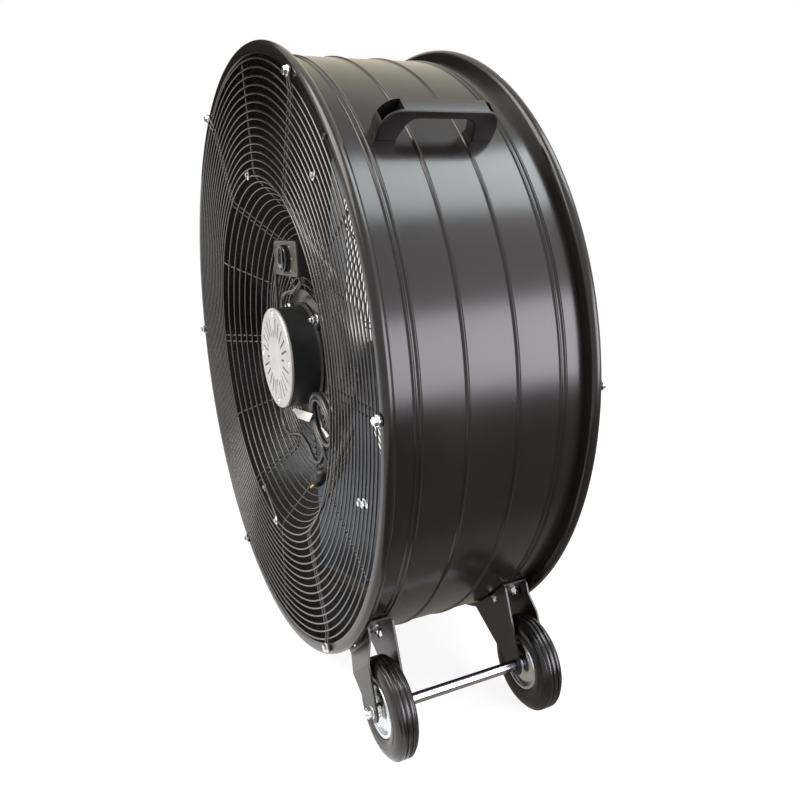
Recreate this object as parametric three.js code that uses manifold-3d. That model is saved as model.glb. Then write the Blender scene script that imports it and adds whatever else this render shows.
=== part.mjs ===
// Portable drum fan on two wheels. Millimetres, +Z up.
// The origin is on the floor below the middle of the drum. The drum's axis runs along Y:
// the motor and the dished guard face -Y, the air leaves at +Y, the wheels are at +X.
import * as THREE from 'three';
import { mergeVertices } from 'three/addons/utils/BufferGeometryUtils.js';
import Module from 'manifold-3d';

const wasm = await Module();
wasm.setup();

// ---------------------------------------------------------------- driving dimensions
const SEAT_GAP = 0.3; // between pieces that touch
const RUN_GAP = 0.4; // between pieces that turn on each other

const DRUM_RADIUS = 486; // outside of the sheet
const RIM_RISE = 19; // the rolled rims stand out this far beyond the sheet
const RIM_ROLL = 10; // half thickness of the rolled rim
const RIM_PLANE = 150.5; // rim centre to the middle of the drum
const DRUM_WALL = 1.5;
const DRUM_FACETS = 24;
const SINGLE_BEAD_PLACE = 38;
const DOUBLE_BEAD_PLACE = 108;
const BEAD_HALF_WIDTH = 4;
const DOUBLE_BEAD_HALF_WIDTH = 7;
const BEAD_HEIGHT = 1.2;
const NECK_END = 134.5; // where the flare into the rim starts

const GUARD_TURN = 4.5; // degrees, first spoke above +X
const RING_WIRE = 3;
const SPOKE_WIRE = 3.4;
const SPOKE_PAIR_SPREAD = 12.5;
const OUTER_RING_INSET = 12.6; // outer ring to the circle of the rim bolts
const RING_PITCH = 12.3;
const FRONT_RING_PITCH = 14;
const GUARD_FACE = 160; // outer ring plane to the middle of the drum
const DISH_RISE = 4.5; // the flat part leans in by this much at the bend
const BEND_RING = 307.4;
const FLOOR_RADIUS = 226; // the dish's floor
const FLOOR_PLANE = 81; // the floor to the middle of the drum
const CONE_RINGS = 8;
const GUARD_BOLT_INSET = 13; // rim bolts to the outside of the rim
const GUARD_BOLT = 3; // shank radius
const GUARD_BOLT_DEPTH = 8;
const SPOKE_SETS = 6;
const RING_FACETS = 16;
const SMALL_RING_FACETS = 12;
const MOTOR_FACETS = 20;

const MOTOR_RADIUS = 87.6;
const MOTOR_WALL = 4;
const MOTOR_BACK = 140.5; // outer face of the end cap to the middle of the drum
const END_CAP_RIM = 12;
const CAP_SLOTS = 12;
const CAP_SLOT_DEPTH = 2.5;
const MOTOR_FLANGE = 4;
const MOTOR_BOLT_CIRCLE = 105;
const MOTOR_BOLT = 4;
const MOTOR_BOLT_TURN = 47; // degrees
const MOTOR_BOLTS = 4;
const MOUNT_PLATE = 4;
const CENTRE_DISC = 84;
const CENTRE_DISC_THICKNESS = 4;
const MOUNT_LAND = 11; // metal round each motor bolt
const SHIELD_NOSE = 60;
const SHIELD_NOSE_END = 64;
const SHAFT_RADIUS = 9;
const SHAFT_END = 12; // beyond the middle of the drum
const BEARING_RADIUS = 20;
const BEARING_WIDTH = 12;
const ROTOR_RADIUS = 51.5;
const AIR_GAP = 0.8;
const CORE_LENGTH = 24;

const FAN_PLANE = -20;
const HUB_RADIUS = 88;
const HUB_LENGTH = 44;
const BLADE_COUNT = 4;
const BLADE_ROOT = 72;
const TIP_CLEARANCE = 16.5; // blade tips to the inside of the drum
const BLADE_SHEET = 2.5;
const BLADE_ROOT_CHORD = 62;
const BLADE_CHORD = 168;
const BLADE_ROOT_PITCH = 36;
const BLADE_TIP_PITCH = 17;
const BLADE_CAMBER = 0.07;
const BLADE_SWEEP = 14;

const BOX_X = 14.5;
const BOX_Z = 173.5;
const BOX_WIDTH = 122;
const BOX_HEIGHT = 58;
const BOX_CORNER = 9;
const BOX_FACE = 118.7;
const BOX_WALL = 2.5;
const BOX_COVER = 3;
const KNOB_X = 5;
const KNOB_RADIUS = 22.5;
const KNOB_HEIGHT = 8;
const KNOB_GRIP = 7;
const SPINDLE_RADIUS = 4;
const GLAND_LENGTH = 22;
const CAPACITOR_RADIUS = 13;
const CAPACITOR_LENGTH = 46;

const CORD_DIAMETER = 8;
const LEAD_DIAMETER = 7;
const COIL_X = 133;
const COIL_Z = -80;
const COIL_PLANE = 98;
const COIL_TURNS = 4;
const COIL_PITCH = 8.8;
const COIL_INNER = 24;
const COIL_STRETCH = 14;
const COIL_TURN = -28; // degrees
const COIL_START = -50; // degrees
const COIL_END = -80; // degrees
const PLUG_LENGTH = 50;
const PLUG_RADIUS = 13;
const PIN_RADIUS = 2.4;
const PIN_LENGTH = 19;
const PIN_SPREAD = 19;

const HANDLE_TURN = 48.2; // degrees above +X
const HANDLE_LOW = -92;
const HANDLE_HIGH = 81;
const HANDLE_RISE = 46; // above the drum
const HANDLE_BAR = 13;
const HANDLE_WIDTH = 25;
const FINGER_LOW = -57;
const FINGER_HIGH = 45;

const WHEEL_RADIUS = 74.2;
const AXLE_DROP = 95.5; // axle to the outside of the rim, along the fork
const WHEEL_PLANE = 122;
const TYRE_WIDTH = 37;
const TREAD_WIDTH = 21;
const HUB_DISC_RADIUS = 41;
const WHEEL_FACETS = 16;
const AXLE_RADIUS = 6;
const SPACER_RADIUS = 8.2;
const FORK_SHEET = 3;
const FORK_TOP_HALF = 16.5;
const FORK_LOW_HALF = 25.5;
const FORK_BASE_HALF = 58;
const FORK_END_RADIUS = 20;
const FORK_BOLT = 4;
const FORK_BOLT_SPREAD = 26;
const FORK_BOLT_PLACE = 6; // from the fork's middle plane
const NUT_HEIGHT = 16;

// ---------------------------------------------------------------- worked out from them
const DEG = Math.PI / 180;
const RIM_RADIUS = DRUM_RADIUS + RIM_RISE;
const AXIS_HEIGHT = RIM_RADIUS;
const GUARD_BOLT_RADIUS = RIM_RADIUS - GUARD_BOLT_INSET;
const OUTER_RING = GUARD_BOLT_RADIUS - OUTER_RING_INSET;
const BLADE_TIP = DRUM_RADIUS - DRUM_WALL - TIP_CLEARANCE;
const AXLE_REACH = RIM_RADIUS + AXLE_DROP;
const WEB_RADIUS = DRUM_RADIUS + BEAD_HEIGHT + SEAT_GAP;
const AXLE_ANGLE = Math.asin((AXIS_HEIGHT - WHEEL_RADIUS) / AXLE_REACH) / DEG;
const RIM_FACE = RIM_PLANE + RIM_ROLL;
const SPOKE_RISE = (RING_WIRE + SPOKE_WIRE) / 2 + SEAT_GAP;
const PLATE_BACK = -FLOOR_PLANE - RING_WIRE / 2;
const FLANGE_BACK = PLATE_BACK - SEAT_GAP - MOTOR_FLANGE;
const CAP_INNER_FACE = -MOTOR_BACK + END_CAP_RIM;
const CAN_BACK = CAP_INNER_FACE + SEAT_GAP;
const CAN_BORE = MOTOR_RADIUS - MOTOR_WALL;

// ---------------------------------------------------------------- finishes
function finish(name, color, roughness, metalness) {
  return new THREE.MeshStandardMaterial({ name, color, roughness, metalness });
}
const blackPaint = finish('black_paint', 0x2b2826, 0.42, 0.3);
const guardWire = finish('guard_wire', 0x34302c, 0.45, 0.3);
const castAluminium = finish('cast_aluminium', 0xa9a9a6, 0.5, 0.9);
const bladeSheet = finish('blade_sheet', 0x8f959c, 0.42, 0.9);
const zincSteel = finish('zinc_steel', 0xc3c8cc, 0.3, 0.95);
const brightSteel = finish('bright_steel', 0xb9bcc0, 0.28, 0.95);
const tyreRubber = finish('tyre_rubber', 0x232324, 0.7, 0);
const blackPlastic = finish('black_plastic', 0x1c1c1d, 0.5, 0);
const cordJacket = finish('cord_jacket', 0x151515, 0.55, 0);
const copperWinding = finish('copper_winding', 0x8a4a2a, 0.4, 0.8);
const pinBrass = finish('pin_brass', 0xb59a55, 0.3, 0.95);

// ---------------------------------------------------------------- geometry helpers
function outward(geometry) {
  const bare = geometry.clone();
  bare.deleteAttribute('normal');
  bare.deleteAttribute('uv');
  const merged = mergeVertices(bare, 1e-4);
  const place = merged.attributes.position;
  const corner = [new THREE.Vector3(), new THREE.Vector3(), new THREE.Vector3()];
  const kept = [];
  let volume = 0;
  for (let i = 0; i < merged.index.count; i += 3) {
    const ids = [0, 1, 2].map((k) => merged.index.getX(i + k));
    if (ids[0] === ids[1] || ids[1] === ids[2] || ids[2] === ids[0]) continue;
    ids.forEach((id, k) => corner[k].fromBufferAttribute(place, id));
    volume += corner[0].dot(corner[1].clone().cross(corner[2]));
    kept.push(ids);
  }
  const faces = volume < 0 ? kept.map(([a, b, c]) => [a, c, b]) : kept;
  const out = new THREE.BufferGeometry();
  out.setAttribute('position', place);
  out.setIndex(faces.flat());
  return out;
}

function solid(geometry) {
  const closed = outward(geometry);
  return new wasm.Manifold(new wasm.Mesh({
    numProp: 3,
    vertProperties: new Float32Array(closed.attributes.position.array),
    triVerts: new Uint32Array(closed.index.array),
  }));
}

function geometryOf(body) {
  const mesh = body.getMesh();
  const out = new THREE.BufferGeometry();
  out.setAttribute('position', new THREE.BufferAttribute(mesh.vertProperties, 3));
  out.setIndex(new THREE.BufferAttribute(mesh.triVerts, 1));
  return out;
}

function joined(bodies) {
  return bodies.reduce((sum, body) => sum.add(body));
}

// profile: [radius, y] corners of a closed section that doesn't touch the axis
function ringLathe(profile, facets, phase = Math.PI / facets) {
  const corners = [...profile, profile[0]].map(([r, y]) => new THREE.Vector2(r, y));
  return new THREE.LatheGeometry(corners, facets, phase);
}

// profile: [radius, y] corners of an outline whose two ends lie on the axis
function axisLathe(profile, facets, phase = Math.PI / facets) {
  const first = [0, profile[0][1]];
  const last = [0, profile[profile.length - 1][1]];
  const corners = [first, ...profile, last].map(([r, y]) => new THREE.Vector2(r, y));
  return new THREE.LatheGeometry(corners, facets, phase);
}

// radius that a facet's corner needs so that the facet's middle lies at r
function cornerRadius(r, facets) {
  return r / Math.cos(Math.PI / facets);
}

function extruded(shape, depth, options = {}) {
  return new THREE.ExtrudeGeometry(shape, { depth, bevelEnabled: false, ...options });
}

function outline(corners) {
  return new THREE.Shape(corners.map(([x, y]) => new THREE.Vector2(x, y)));
}

function roundedRectangle(width, height, corner) {
  const x = width / 2;
  const y = height / 2;
  const shape = new THREE.Shape();
  shape.moveTo(-x + corner, -y);
  shape.lineTo(x - corner, -y);
  shape.absarc(x - corner, -y + corner, corner, -Math.PI / 2, 0);
  shape.absarc(x - corner, y - corner, corner, 0, Math.PI / 2);
  shape.absarc(-x + corner, y - corner, corner, Math.PI / 2, Math.PI);
  shape.absarc(-x + corner, -y + corner, corner, Math.PI, 1.5 * Math.PI);
  return shape;
}

// turns a section drawn in (y, z) so that it runs along x, centred
function alongX(geometry, length) {
  const turn = new THREE.Matrix4().makeBasis(
    new THREE.Vector3(0, 1, 0), new THREE.Vector3(0, 0, 1), new THREE.Vector3(1, 0, 0));
  return geometry.applyMatrix4(turn).translate(-length / 2, 0, 0);
}

// turns an outline drawn in (x, z) so that it runs along y from back to front
function alongY(shape, back, front, options = {}) {
  return extruded(shape, front - back, options).rotateX(Math.PI / 2).translate(0, front, 0);
}

// a bolt with a hexagon head: the shank points to +Y from the seat at y = 0
function hexBolt(shank, length, head, headHeight) {
  return axisLathe([[head, -headHeight], [head, 0], [shank, 0], [shank, length]], 6);
}

// a hexagonal pin that cuts the hole for a shank of this radius, along Y
function holeCutter(shank, from, to) {
  const r = cornerRadius(shank + SEAT_GAP, 6);
  return axisLathe([[r, from], [r, to]], 6);
}

function tube(points, diameter, sides, steps) {
  const path = new THREE.CatmullRomCurve3(points.map((p) => new THREE.Vector3(...p)));
  const section = [];
  for (let i = 0; i < sides; i += 1) {
    const turn = (i / sides) * 2 * Math.PI;
    section.push([Math.cos(turn) * diameter / 2, Math.sin(turn) * diameter / 2]);
  }
  return new THREE.ExtrudeGeometry(outline(section), { extrudePath: path, steps });
}

// ---------------------------------------------------------------- scene graph
const fan = new THREE.Group();
const drumFrame = new THREE.Group(); // its origin is the middle of the drum
drumFrame.position.z = AXIS_HEIGHT;
fan.add(drumFrame);

function add(group, name, shape, material) {
  const geometry = shape.isBufferGeometry ? outward(shape) : geometryOf(shape);
  const mesh = new THREE.Mesh(geometry, material);
  mesh.name = name;
  group.add(mesh);
  return mesh;
}

// a group whose local +Z points away from the drum's axis at this angle above +X
function radialGroup(degrees) {
  const group = new THREE.Group();
  group.rotation.y = Math.PI / 2 - degrees * DEG;
  drumFrame.add(group);
  return group;
}

function polar(radius, degrees) {
  return [radius * Math.cos(degrees * DEG), radius * Math.sin(degrees * DEG)];
}

const spokeAngles = [];
for (let i = 0; i < SPOKE_SETS; i += 1) spokeAngles.push(GUARD_TURN + i * 360 / SPOKE_SETS);

// ---------------------------------------------------------------- drum
function beadProfile(place, halfWidth) {
  const top = DRUM_RADIUS + BEAD_HEIGHT;
  return [[DRUM_RADIUS, place - halfWidth], [top, place], [DRUM_RADIUS, place + halfWidth]];
}

function doubleBeadProfile() {
  const step = DOUBLE_BEAD_HALF_WIDTH / 2;
  const top = DRUM_RADIUS + BEAD_HEIGHT;
  return [[DRUM_RADIUS, DOUBLE_BEAD_PLACE - 2 * step], [top, DOUBLE_BEAD_PLACE - step],
    [DRUM_RADIUS, DOUBLE_BEAD_PLACE], [top, DOUBLE_BEAD_PLACE + step],
    [DRUM_RADIUS, DOUBLE_BEAD_PLACE + 2 * step]];
}

function rimProfile() {
  const centre = RIM_RADIUS - RIM_ROLL;
  const near = RIM_ROLL * Math.tan(Math.PI / 8);
  return [[centre - near, RIM_PLANE - RIM_ROLL], [centre + near, RIM_PLANE - RIM_ROLL],
    [RIM_RADIUS, RIM_PLANE - near], [RIM_RADIUS, RIM_PLANE + near],
    [centre + near, RIM_FACE], [centre - near, RIM_FACE],
    [DRUM_RADIUS - DRUM_WALL, RIM_PLANE + near]];
}

function drumShell() {
  const flareFoot = [DRUM_RADIUS + 0.8, RIM_PLANE - RIM_ROLL - 1.6];
  const frontHalf = [...beadProfile(SINGLE_BEAD_PLACE, BEAD_HALF_WIDTH), ...doubleBeadProfile(),
    [DRUM_RADIUS, NECK_END], flareFoot, ...rimProfile()];
  const rearHalf = frontHalf.map(([r, y]) => [r, -y]).reverse();
  const profile = [...rearHalf, ...frontHalf]
    .map(([r, y]) => [cornerRadius(r, DRUM_FACETS), y]);
  let body = solid(ringLathe(profile, DRUM_FACETS));
  for (const angle of spokeAngles) {
    const [x, z] = polar(GUARD_BOLT_RADIUS, angle);
    for (const side of [-1, 1]) {
      const depth = GUARD_BOLT_DEPTH + SEAT_GAP;
      const ends = [side * (RIM_FACE - depth), side * (RIM_FACE + 1)].sort((a, b) => a - b);
      body = body.subtract(solid(holeCutter(GUARD_BOLT, ...ends).translate(x, 0, z)));
    }
  }
  for (const side of [-1, 1]) {
    for (const hole of forkBoltPlaces(side)) {
      body = body.subtract(solid(forkBoltCutter(hole)));
    }
  }
  return body;
}

// ---------------------------------------------------------------- guards
// a ring of three-sided wire; nx, ny point to the side where the spokes lie. On the funnel
// a corner of the ring lies on the spoke that carries it, elsewhere a flat does.
function ringWire(radius, y, nx, ny, facets, cornered) {
  const half = RING_WIRE / 2;
  const base = [radius + nx * half, y + ny * half];
  const profile = [[base[0] - ny * half, base[1] + nx * half],
    [base[0] + ny * half, base[1] - nx * half],
    [radius - nx * half, y - ny * half]];
  const carrier = (90 - GUARD_TURN) * DEG - Math.PI / SPOKE_SETS;
  return solid(ringLathe(profile, facets, carrier + (cornered ? 0 : Math.PI / facets)));
}

// a bent spoke: the centre line [radius, y] with square corners, of square wire
function spokeWire(line, offset, sideways) {
  const half = SPOKE_WIRE / 2;
  const edge = (distance) => line.map((point, i) => {
    const before = line[Math.max(i - 1, 0)];
    const after = line[Math.min(i + 1, line.length - 1)];
    const normals = [[before, point], [point, after]]
      .filter(([a, b]) => a !== b)
      .map(([a, b]) => {
        const reach = Math.hypot(b[0] - a[0], b[1] - a[1]);
        return [(b[1] - a[1]) / reach, (a[0] - b[0]) / reach];
      });
    const sum = normals.reduce((s, n) => [s[0] + n[0], s[1] + n[1]], [0, 0]);
    const dot = sum[0] * normals[0][0] + sum[1] * normals[0][1];
    return [point[0] + sum[0] / dot * distance, point[1] + sum[1] / dot * distance];
  });
  const corners = [...edge(offset - half), ...edge(offset + half).reverse()];
  return extruded(outline(corners), SPOKE_WIRE).translate(0, 0, sideways - half);
}

function turned(geometry, degrees) {
  return geometry.clone().rotateY(-degrees * DEG);
}

// spokes and rings of one guard, drawn on the -y side; each double spoke is one wire
// whose U bend goes round a rim bolt
function guardBodies(line, rings) {
  const bodies = [];
  const eyePlane = -RIM_FACE - SEAT_GAP - SPOKE_WIRE / 2;
  const bendRadius = GUARD_BOLT_RADIUS + SPOKE_PAIR_SPREAD / 2 + SPOKE_WIRE / 2;
  const overRim = [[bendRadius, eyePlane - SPOKE_RISE],
    [GUARD_BOLT_RADIUS - SPOKE_PAIR_SPREAD / 2, eyePlane - SPOKE_RISE],
    [OUTER_RING - 2 * RING_WIRE, line[0][1]]];
  const reach = SPOKE_PAIR_SPREAD - SPOKE_WIRE + 2 * SEAT_GAP;
  const bend = new THREE.BoxGeometry(SPOKE_WIRE, SPOKE_WIRE, reach)
    .translate(bendRadius - SPOKE_WIRE / 2, eyePlane, 0);
  spokeAngles.forEach((angle, i) => {
    for (const side of [-1, 1]) {
      const path = [...overRim, ...line.slice(1)];
      const wire = spokeWire(path, SPOKE_RISE, side * SPOKE_PAIR_SPREAD / 2);
      bodies.push(solid(turned(wire, angle)));
    }
    bodies.push(solid(turned(bend, angle)));
    const sink = i === 0 ? 3 * SEAT_GAP : 0; // this spoke carries every ring
    const single = spokeWire(line, SPOKE_RISE - sink, 0);
    bodies.push(solid(turned(single, angle + 180 / SPOKE_SETS)));
  });
  for (const ring of rings) bodies.push(ringWire(...ring));
  return bodies;
}

function rearGuard() {
  const plateEdge = MOTOR_BOLT_CIRCLE + MOUNT_LAND;
  const bendPlane = -GUARD_FACE + DISH_RISE;
  const line = [[OUTER_RING, -GUARD_FACE], [BEND_RING, bendPlane],
    [FLOOR_RADIUS, -FLOOR_PLANE], [plateEdge - 8, -FLOOR_PLANE]];
  const rings = [];
  for (let r = OUTER_RING; r > BEND_RING - 1; r -= RING_PITCH) {
    const along = (OUTER_RING - r) / (OUTER_RING - BEND_RING);
    const cornered = r < BEND_RING + 1;
    rings.push([r, -GUARD_FACE + DISH_RISE * along, 0, 1, RING_FACETS, cornered]);
  }
  const fall = Math.hypot(BEND_RING - FLOOR_RADIUS, -FLOOR_PLANE - bendPlane);
  const nx = (-FLOOR_PLANE - bendPlane) / fall;
  const ny = (BEND_RING - FLOOR_RADIUS) / fall;
  for (let i = 1; i <= CONE_RINGS; i += 1) {
    const along = i / (CONE_RINGS + 0.5);
    rings.push([BEND_RING + (FLOOR_RADIUS - BEND_RING) * along,
      bendPlane + (-FLOOR_PLANE - bendPlane) * along, nx, ny, RING_FACETS, true]);
  }
  for (let r = FLOOR_RADIUS - RING_WIRE; r > plateEdge + 6; r -= RING_PITCH) {
    rings.push([r, -FLOOR_PLANE, 0, 1, SMALL_RING_FACETS, false]);
  }
  const bore = cornerRadius(CAN_BORE, MOTOR_FACETS);
  const plate = ringLathe([[bore, PLATE_BACK], [plateEdge, PLATE_BACK],
    [plateEdge, PLATE_BACK + MOUNT_PLATE], [bore, PLATE_BACK + MOUNT_PLATE]], MOTOR_FACETS);
  let body = joined([...guardBodies(line, rings), solid(plate)]);
  for (const [x, z] of motorBoltPlaces()) {
    const cutter = holeCutter(MOTOR_BOLT, -FLOOR_PLANE - 9, -FLOOR_PLANE + 9);
    body = body.subtract(solid(cutter.translate(x, 0, z)));
  }
  return body;
}

function frontGuard() {
  const line = [[OUTER_RING, -GUARD_FACE], [CENTRE_DISC - 8, -GUARD_FACE]];
  const rings = [];
  for (let r = OUTER_RING; r > CENTRE_DISC + 6; r -= FRONT_RING_PITCH) {
    rings.push([r, -GUARD_FACE, 0, 1, SMALL_RING_FACETS, false]);
  }
  const discBack = -GUARD_FACE - RING_WIRE / 2;
  const disc = axisLathe([[CENTRE_DISC, discBack],
    [CENTRE_DISC, discBack + CENTRE_DISC_THICKNESS]], 16);
  const body = joined([...guardBodies(line, rings), solid(disc)]);
  return outward(geometryOf(body).scale(1, -1, 1));
}

function addGuards() {
  add(drumFrame, 'rear_guard', rearGuard(), guardWire);
  add(drumFrame, 'front_guard', frontGuard(), guardWire);
  const seat = RIM_FACE + SPOKE_WIRE + 2 * SEAT_GAP;
  const length = seat - RIM_FACE + GUARD_BOLT_DEPTH;
  spokeAngles.forEach((angle, i) => {
    const [x, z] = polar(GUARD_BOLT_RADIUS, angle);
    const rear = add(drumFrame, `rear_guard_bolt_${i + 1}`,
      hexBolt(GUARD_BOLT, length, 2.2 * GUARD_BOLT, 5.2), zincSteel);
    rear.position.set(x, -seat, z);
    const front = add(drumFrame, `front_guard_bolt_${i + 1}`,
      hexBolt(GUARD_BOLT, length, 2.2 * GUARD_BOLT, 5.2), zincSteel);
    front.position.set(x, seat, z);
    front.rotation.x = Math.PI;
  });
}

// ---------------------------------------------------------------- motor
function motorBoltPlaces() {
  const places = [];
  for (let i = 0; i < MOTOR_BOLTS; i += 1) {
    places.push(polar(MOTOR_BOLT_CIRCLE, MOTOR_BOLT_TURN + i * 360 / MOTOR_BOLTS));
  }
  return places;
}

function motorHousing() {
  const flangeFront = FLANGE_BACK + MOTOR_FLANGE;
  const bore = cornerRadius(CAN_BORE, MOTOR_FACETS);
  const can = ringLathe([[bore, CAN_BACK], [MOTOR_RADIUS, CAN_BACK],
    [MOTOR_RADIUS, flangeFront], [bore, flangeFront]], MOTOR_FACETS);
  let body = solid(can);
  const ear = new THREE.CylinderGeometry(MOUNT_LAND, MOUNT_LAND, MOTOR_FLANGE, 8);
  const neck = new THREE.BoxGeometry(MOTOR_BOLT_CIRCLE - CAN_BORE, MOTOR_FLANGE, 2 * MOUNT_LAND);
  const plane = FLANGE_BACK + MOTOR_FLANGE / 2;
  motorBoltPlaces().forEach(([x, z], i) => {
    const angle = MOTOR_BOLT_TURN + i * 360 / MOTOR_BOLTS;
    const arm = neck.clone().translate((MOTOR_BOLT_CIRCLE + CAN_BORE) / 2 + 1, plane, 0);
    body = body.add(solid(turned(arm, angle)));
    body = body.add(solid(ear.clone().translate(x, plane, z)));
    const cutter = holeCutter(MOTOR_BOLT, FLANGE_BACK - 1, flangeFront + 1);
    body = body.subtract(solid(cutter.translate(x, 0, z)));
  });
  return body;
}

function motorEndCap() {
  const face = -MOTOR_BACK;
  const seat = cornerRadius(BEARING_RADIUS + SEAT_GAP, MOTOR_FACETS);
  const skirt = CAN_BORE - SEAT_GAP;
  const profile = [[MOTOR_RADIUS - 3, face], [MOTOR_RADIUS, face + 3],
    [MOTOR_RADIUS, CAP_INNER_FACE], [skirt, CAP_INNER_FACE], [skirt, CAP_INNER_FACE + 5],
    [skirt - 4, CAP_INNER_FACE + 5], [skirt - 4, face + 5], [seat + 5, face + 5],
    [seat + 5, CAP_INNER_FACE + 6], [seat, CAP_INNER_FACE + 6], [seat, face + 6]];
  let body = solid(axisLathe(profile, MOTOR_FACETS));
  const slot = new THREE.BoxGeometry(34, 2 * CAP_SLOT_DEPTH, 4.5);
  for (let i = 0; i < CAP_SLOTS; i += 1) {
    const cut = turned(slot.clone().translate(57, face, 0), (i + 0.5) * 360 / CAP_SLOTS);
    body = body.subtract(solid(cut));
  }
  return body;
}

function frontShield() {
  const seat = cornerRadius(BEARING_RADIUS + SEAT_GAP, 16);
  const bore = cornerRadius(SHAFT_RADIUS + 2, 16);
  const back = FLANGE_BACK - 3;
  const profile = [[seat, back], [CAN_BORE - SEAT_GAP, back],
    [CAN_BORE - SEAT_GAP, FLANGE_BACK + 2], [SHIELD_NOSE, FLANGE_BACK + 5],
    [SHIELD_NOSE - 12, -SHIELD_NOSE_END], [bore, -SHIELD_NOSE_END],
    [bore, back + BEARING_WIDTH + SEAT_GAP], [seat, back + BEARING_WIDTH + SEAT_GAP]];
  return ringLathe(profile, 16);
}

function washer(inner, outer, back, front, facets) {
  return ringLathe([[cornerRadius(inner, facets), back], [outer, back], [outer, front],
    [cornerRadius(inner, facets), front]], facets);
}

function addMotor() {
  add(drumFrame, 'motor_housing', motorHousing(), blackPaint);
  add(drumFrame, 'motor_end_cap', motorEndCap(), castAluminium);
  add(drumFrame, 'motor_front_shield', frontShield(), blackPaint);
  const coreBack = FLANGE_BACK - 8 - CORE_LENGTH;
  add(drumFrame, 'stator', washer(ROTOR_RADIUS + AIR_GAP, CAN_BORE - SEAT_GAP,
    coreBack, coreBack + CORE_LENGTH, 16), copperWinding);
  add(drumFrame, 'rotor', washer(SHAFT_RADIUS + SEAT_GAP, ROTOR_RADIUS,
    coreBack, coreBack + CORE_LENGTH, 16), brightSteel);
  const rearSeat = -MOTOR_BACK + 6 + SEAT_GAP;
  const frontSeat = FLANGE_BACK - 3;
  const bore = SHAFT_RADIUS + SEAT_GAP;
  add(drumFrame, 'motor_bearing_rear', washer(bore, BEARING_RADIUS,
    rearSeat, rearSeat + BEARING_WIDTH, 16), brightSteel);
  add(drumFrame, 'motor_bearing_front', washer(bore, BEARING_RADIUS,
    frontSeat, frontSeat + BEARING_WIDTH, 16), brightSteel);
  add(drumFrame, 'fan_shaft', axisLathe([[SHAFT_RADIUS, rearSeat + 1],
    [SHAFT_RADIUS, SHAFT_END]], 12), brightSteel);
  motorBoltPlaces().forEach(([x, z], i) => {
    const length = MOTOR_FLANGE + MOUNT_PLATE + 2 * SEAT_GAP + 4;
    const bolt = add(drumFrame, `motor_bolt_${i + 1}`,
      hexBolt(MOTOR_BOLT, length, 2 * MOTOR_BOLT, 5.5), zincSteel);
    bolt.position.set(x, FLANGE_BACK - SEAT_GAP, z);
  });
}

// ---------------------------------------------------------------- impeller
function bladeStation(share, thickness) {
  const span = BLADE_TIP - BLADE_ROOT;
  const grow = 1 - (1 - Math.min(share / 0.45, 1)) ** 2;
  const chord = BLADE_ROOT_CHORD + (BLADE_CHORD - BLADE_ROOT_CHORD) * grow;
  const pitch = (BLADE_ROOT_PITCH + (BLADE_TIP_PITCH - BLADE_ROOT_PITCH) * share) * DEG;
  const sweep = BLADE_SWEEP * Math.sin(Math.PI * share);
  const points = [];
  for (const side of [1, -1]) {
    for (let k = 0; k <= 4; k += 1) {
      const s = side * (k / 4 - 0.5);
      const rise = BLADE_CAMBER * chord * (1 - 4 * s * s) + side * thickness / 2;
      const along = s * chord + sweep;
      points.push([BLADE_ROOT + span * share,
        FAN_PLANE + along * Math.sin(pitch) + rise * Math.cos(pitch),
        along * Math.cos(pitch) - rise * Math.sin(pitch)]);
    }
  }
  return points;
}

function blade(thickness) {
  const shares = [0, 0.12, 0.26, 0.5, 0.75, 1];
  const loops = shares.map((share) => bladeStation(share, thickness));
  const count = loops[0].length;
  const faces = [];
  for (let i = 0; i + 1 < loops.length; i += 1) {
    for (let k = 0; k < count; k += 1) {
      const a = i * count + k;
      const b = i * count + (k + 1) % count;
      faces.push(a, a + count, b, b, a + count, b + count);
    }
  }
  for (const [start, flip] of [[0, false], [(loops.length - 1) * count, true]]) {
    for (let k = 0; k < count / 2 - 1; k += 1) {
      const a = start + k;
      const b = start + k + 1;
      const c = start + count - 2 - k;
      const d = start + count - 1 - k;
      faces.push(...(flip ? [a, c, b, a, d, c] : [a, b, c, a, c, d]));
    }
  }
  const geometry = new THREE.BufferGeometry();
  geometry.setAttribute('position', new THREE.Float32BufferAttribute(loops.flat(2), 3));
  geometry.setIndex(faces);
  return geometry;
}

function fanHub() {
  const bore = cornerRadius(SHAFT_RADIUS + SEAT_GAP, 16);
  const back = FAN_PLANE - HUB_LENGTH / 2;
  const front = FAN_PLANE + HUB_LENGTH / 2;
  let body = solid(ringLathe([[bore, back], [HUB_RADIUS, back], [HUB_RADIUS, front],
    [HUB_RADIUS - 30, front], [26, front + 6], [bore, front + 6]], 16));
  for (let i = 0; i < BLADE_COUNT; i += 1) {
    const slot = solid(turned(blade(BLADE_SHEET + 2 * SEAT_GAP)
      .translate(-SEAT_GAP, 0, 0), i * 360 / BLADE_COUNT));
    body = body.subtract(slot);
  }
  return body;
}

function addImpeller() {
  add(drumFrame, 'fan_hub', fanHub(), castAluminium);
  for (let i = 0; i < BLADE_COUNT; i += 1) {
    add(drumFrame, `fan_blade_${i + 1}`,
      turned(blade(BLADE_SHEET), i * 360 / BLADE_COUNT), bladeSheet);
  }
}

// ---------------------------------------------------------------- switch box and its cords
const boxGroup = new THREE.Group(); // local x to the right along the box, local z up
boxGroup.position.set(BOX_X, 0, BOX_Z);
boxGroup.rotation.y = -GUARD_TURN * DEG;
drumFrame.add(boxGroup);

const BOX_BACK = -FLOOR_PLANE - RING_WIRE / 2 - SEAT_GAP;
const BOX_MOUTH = -BOX_FACE + BOX_COVER + SEAT_GAP;
const GLAND_Y = (BOX_BACK + BOX_MOUTH) / 2;

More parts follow.
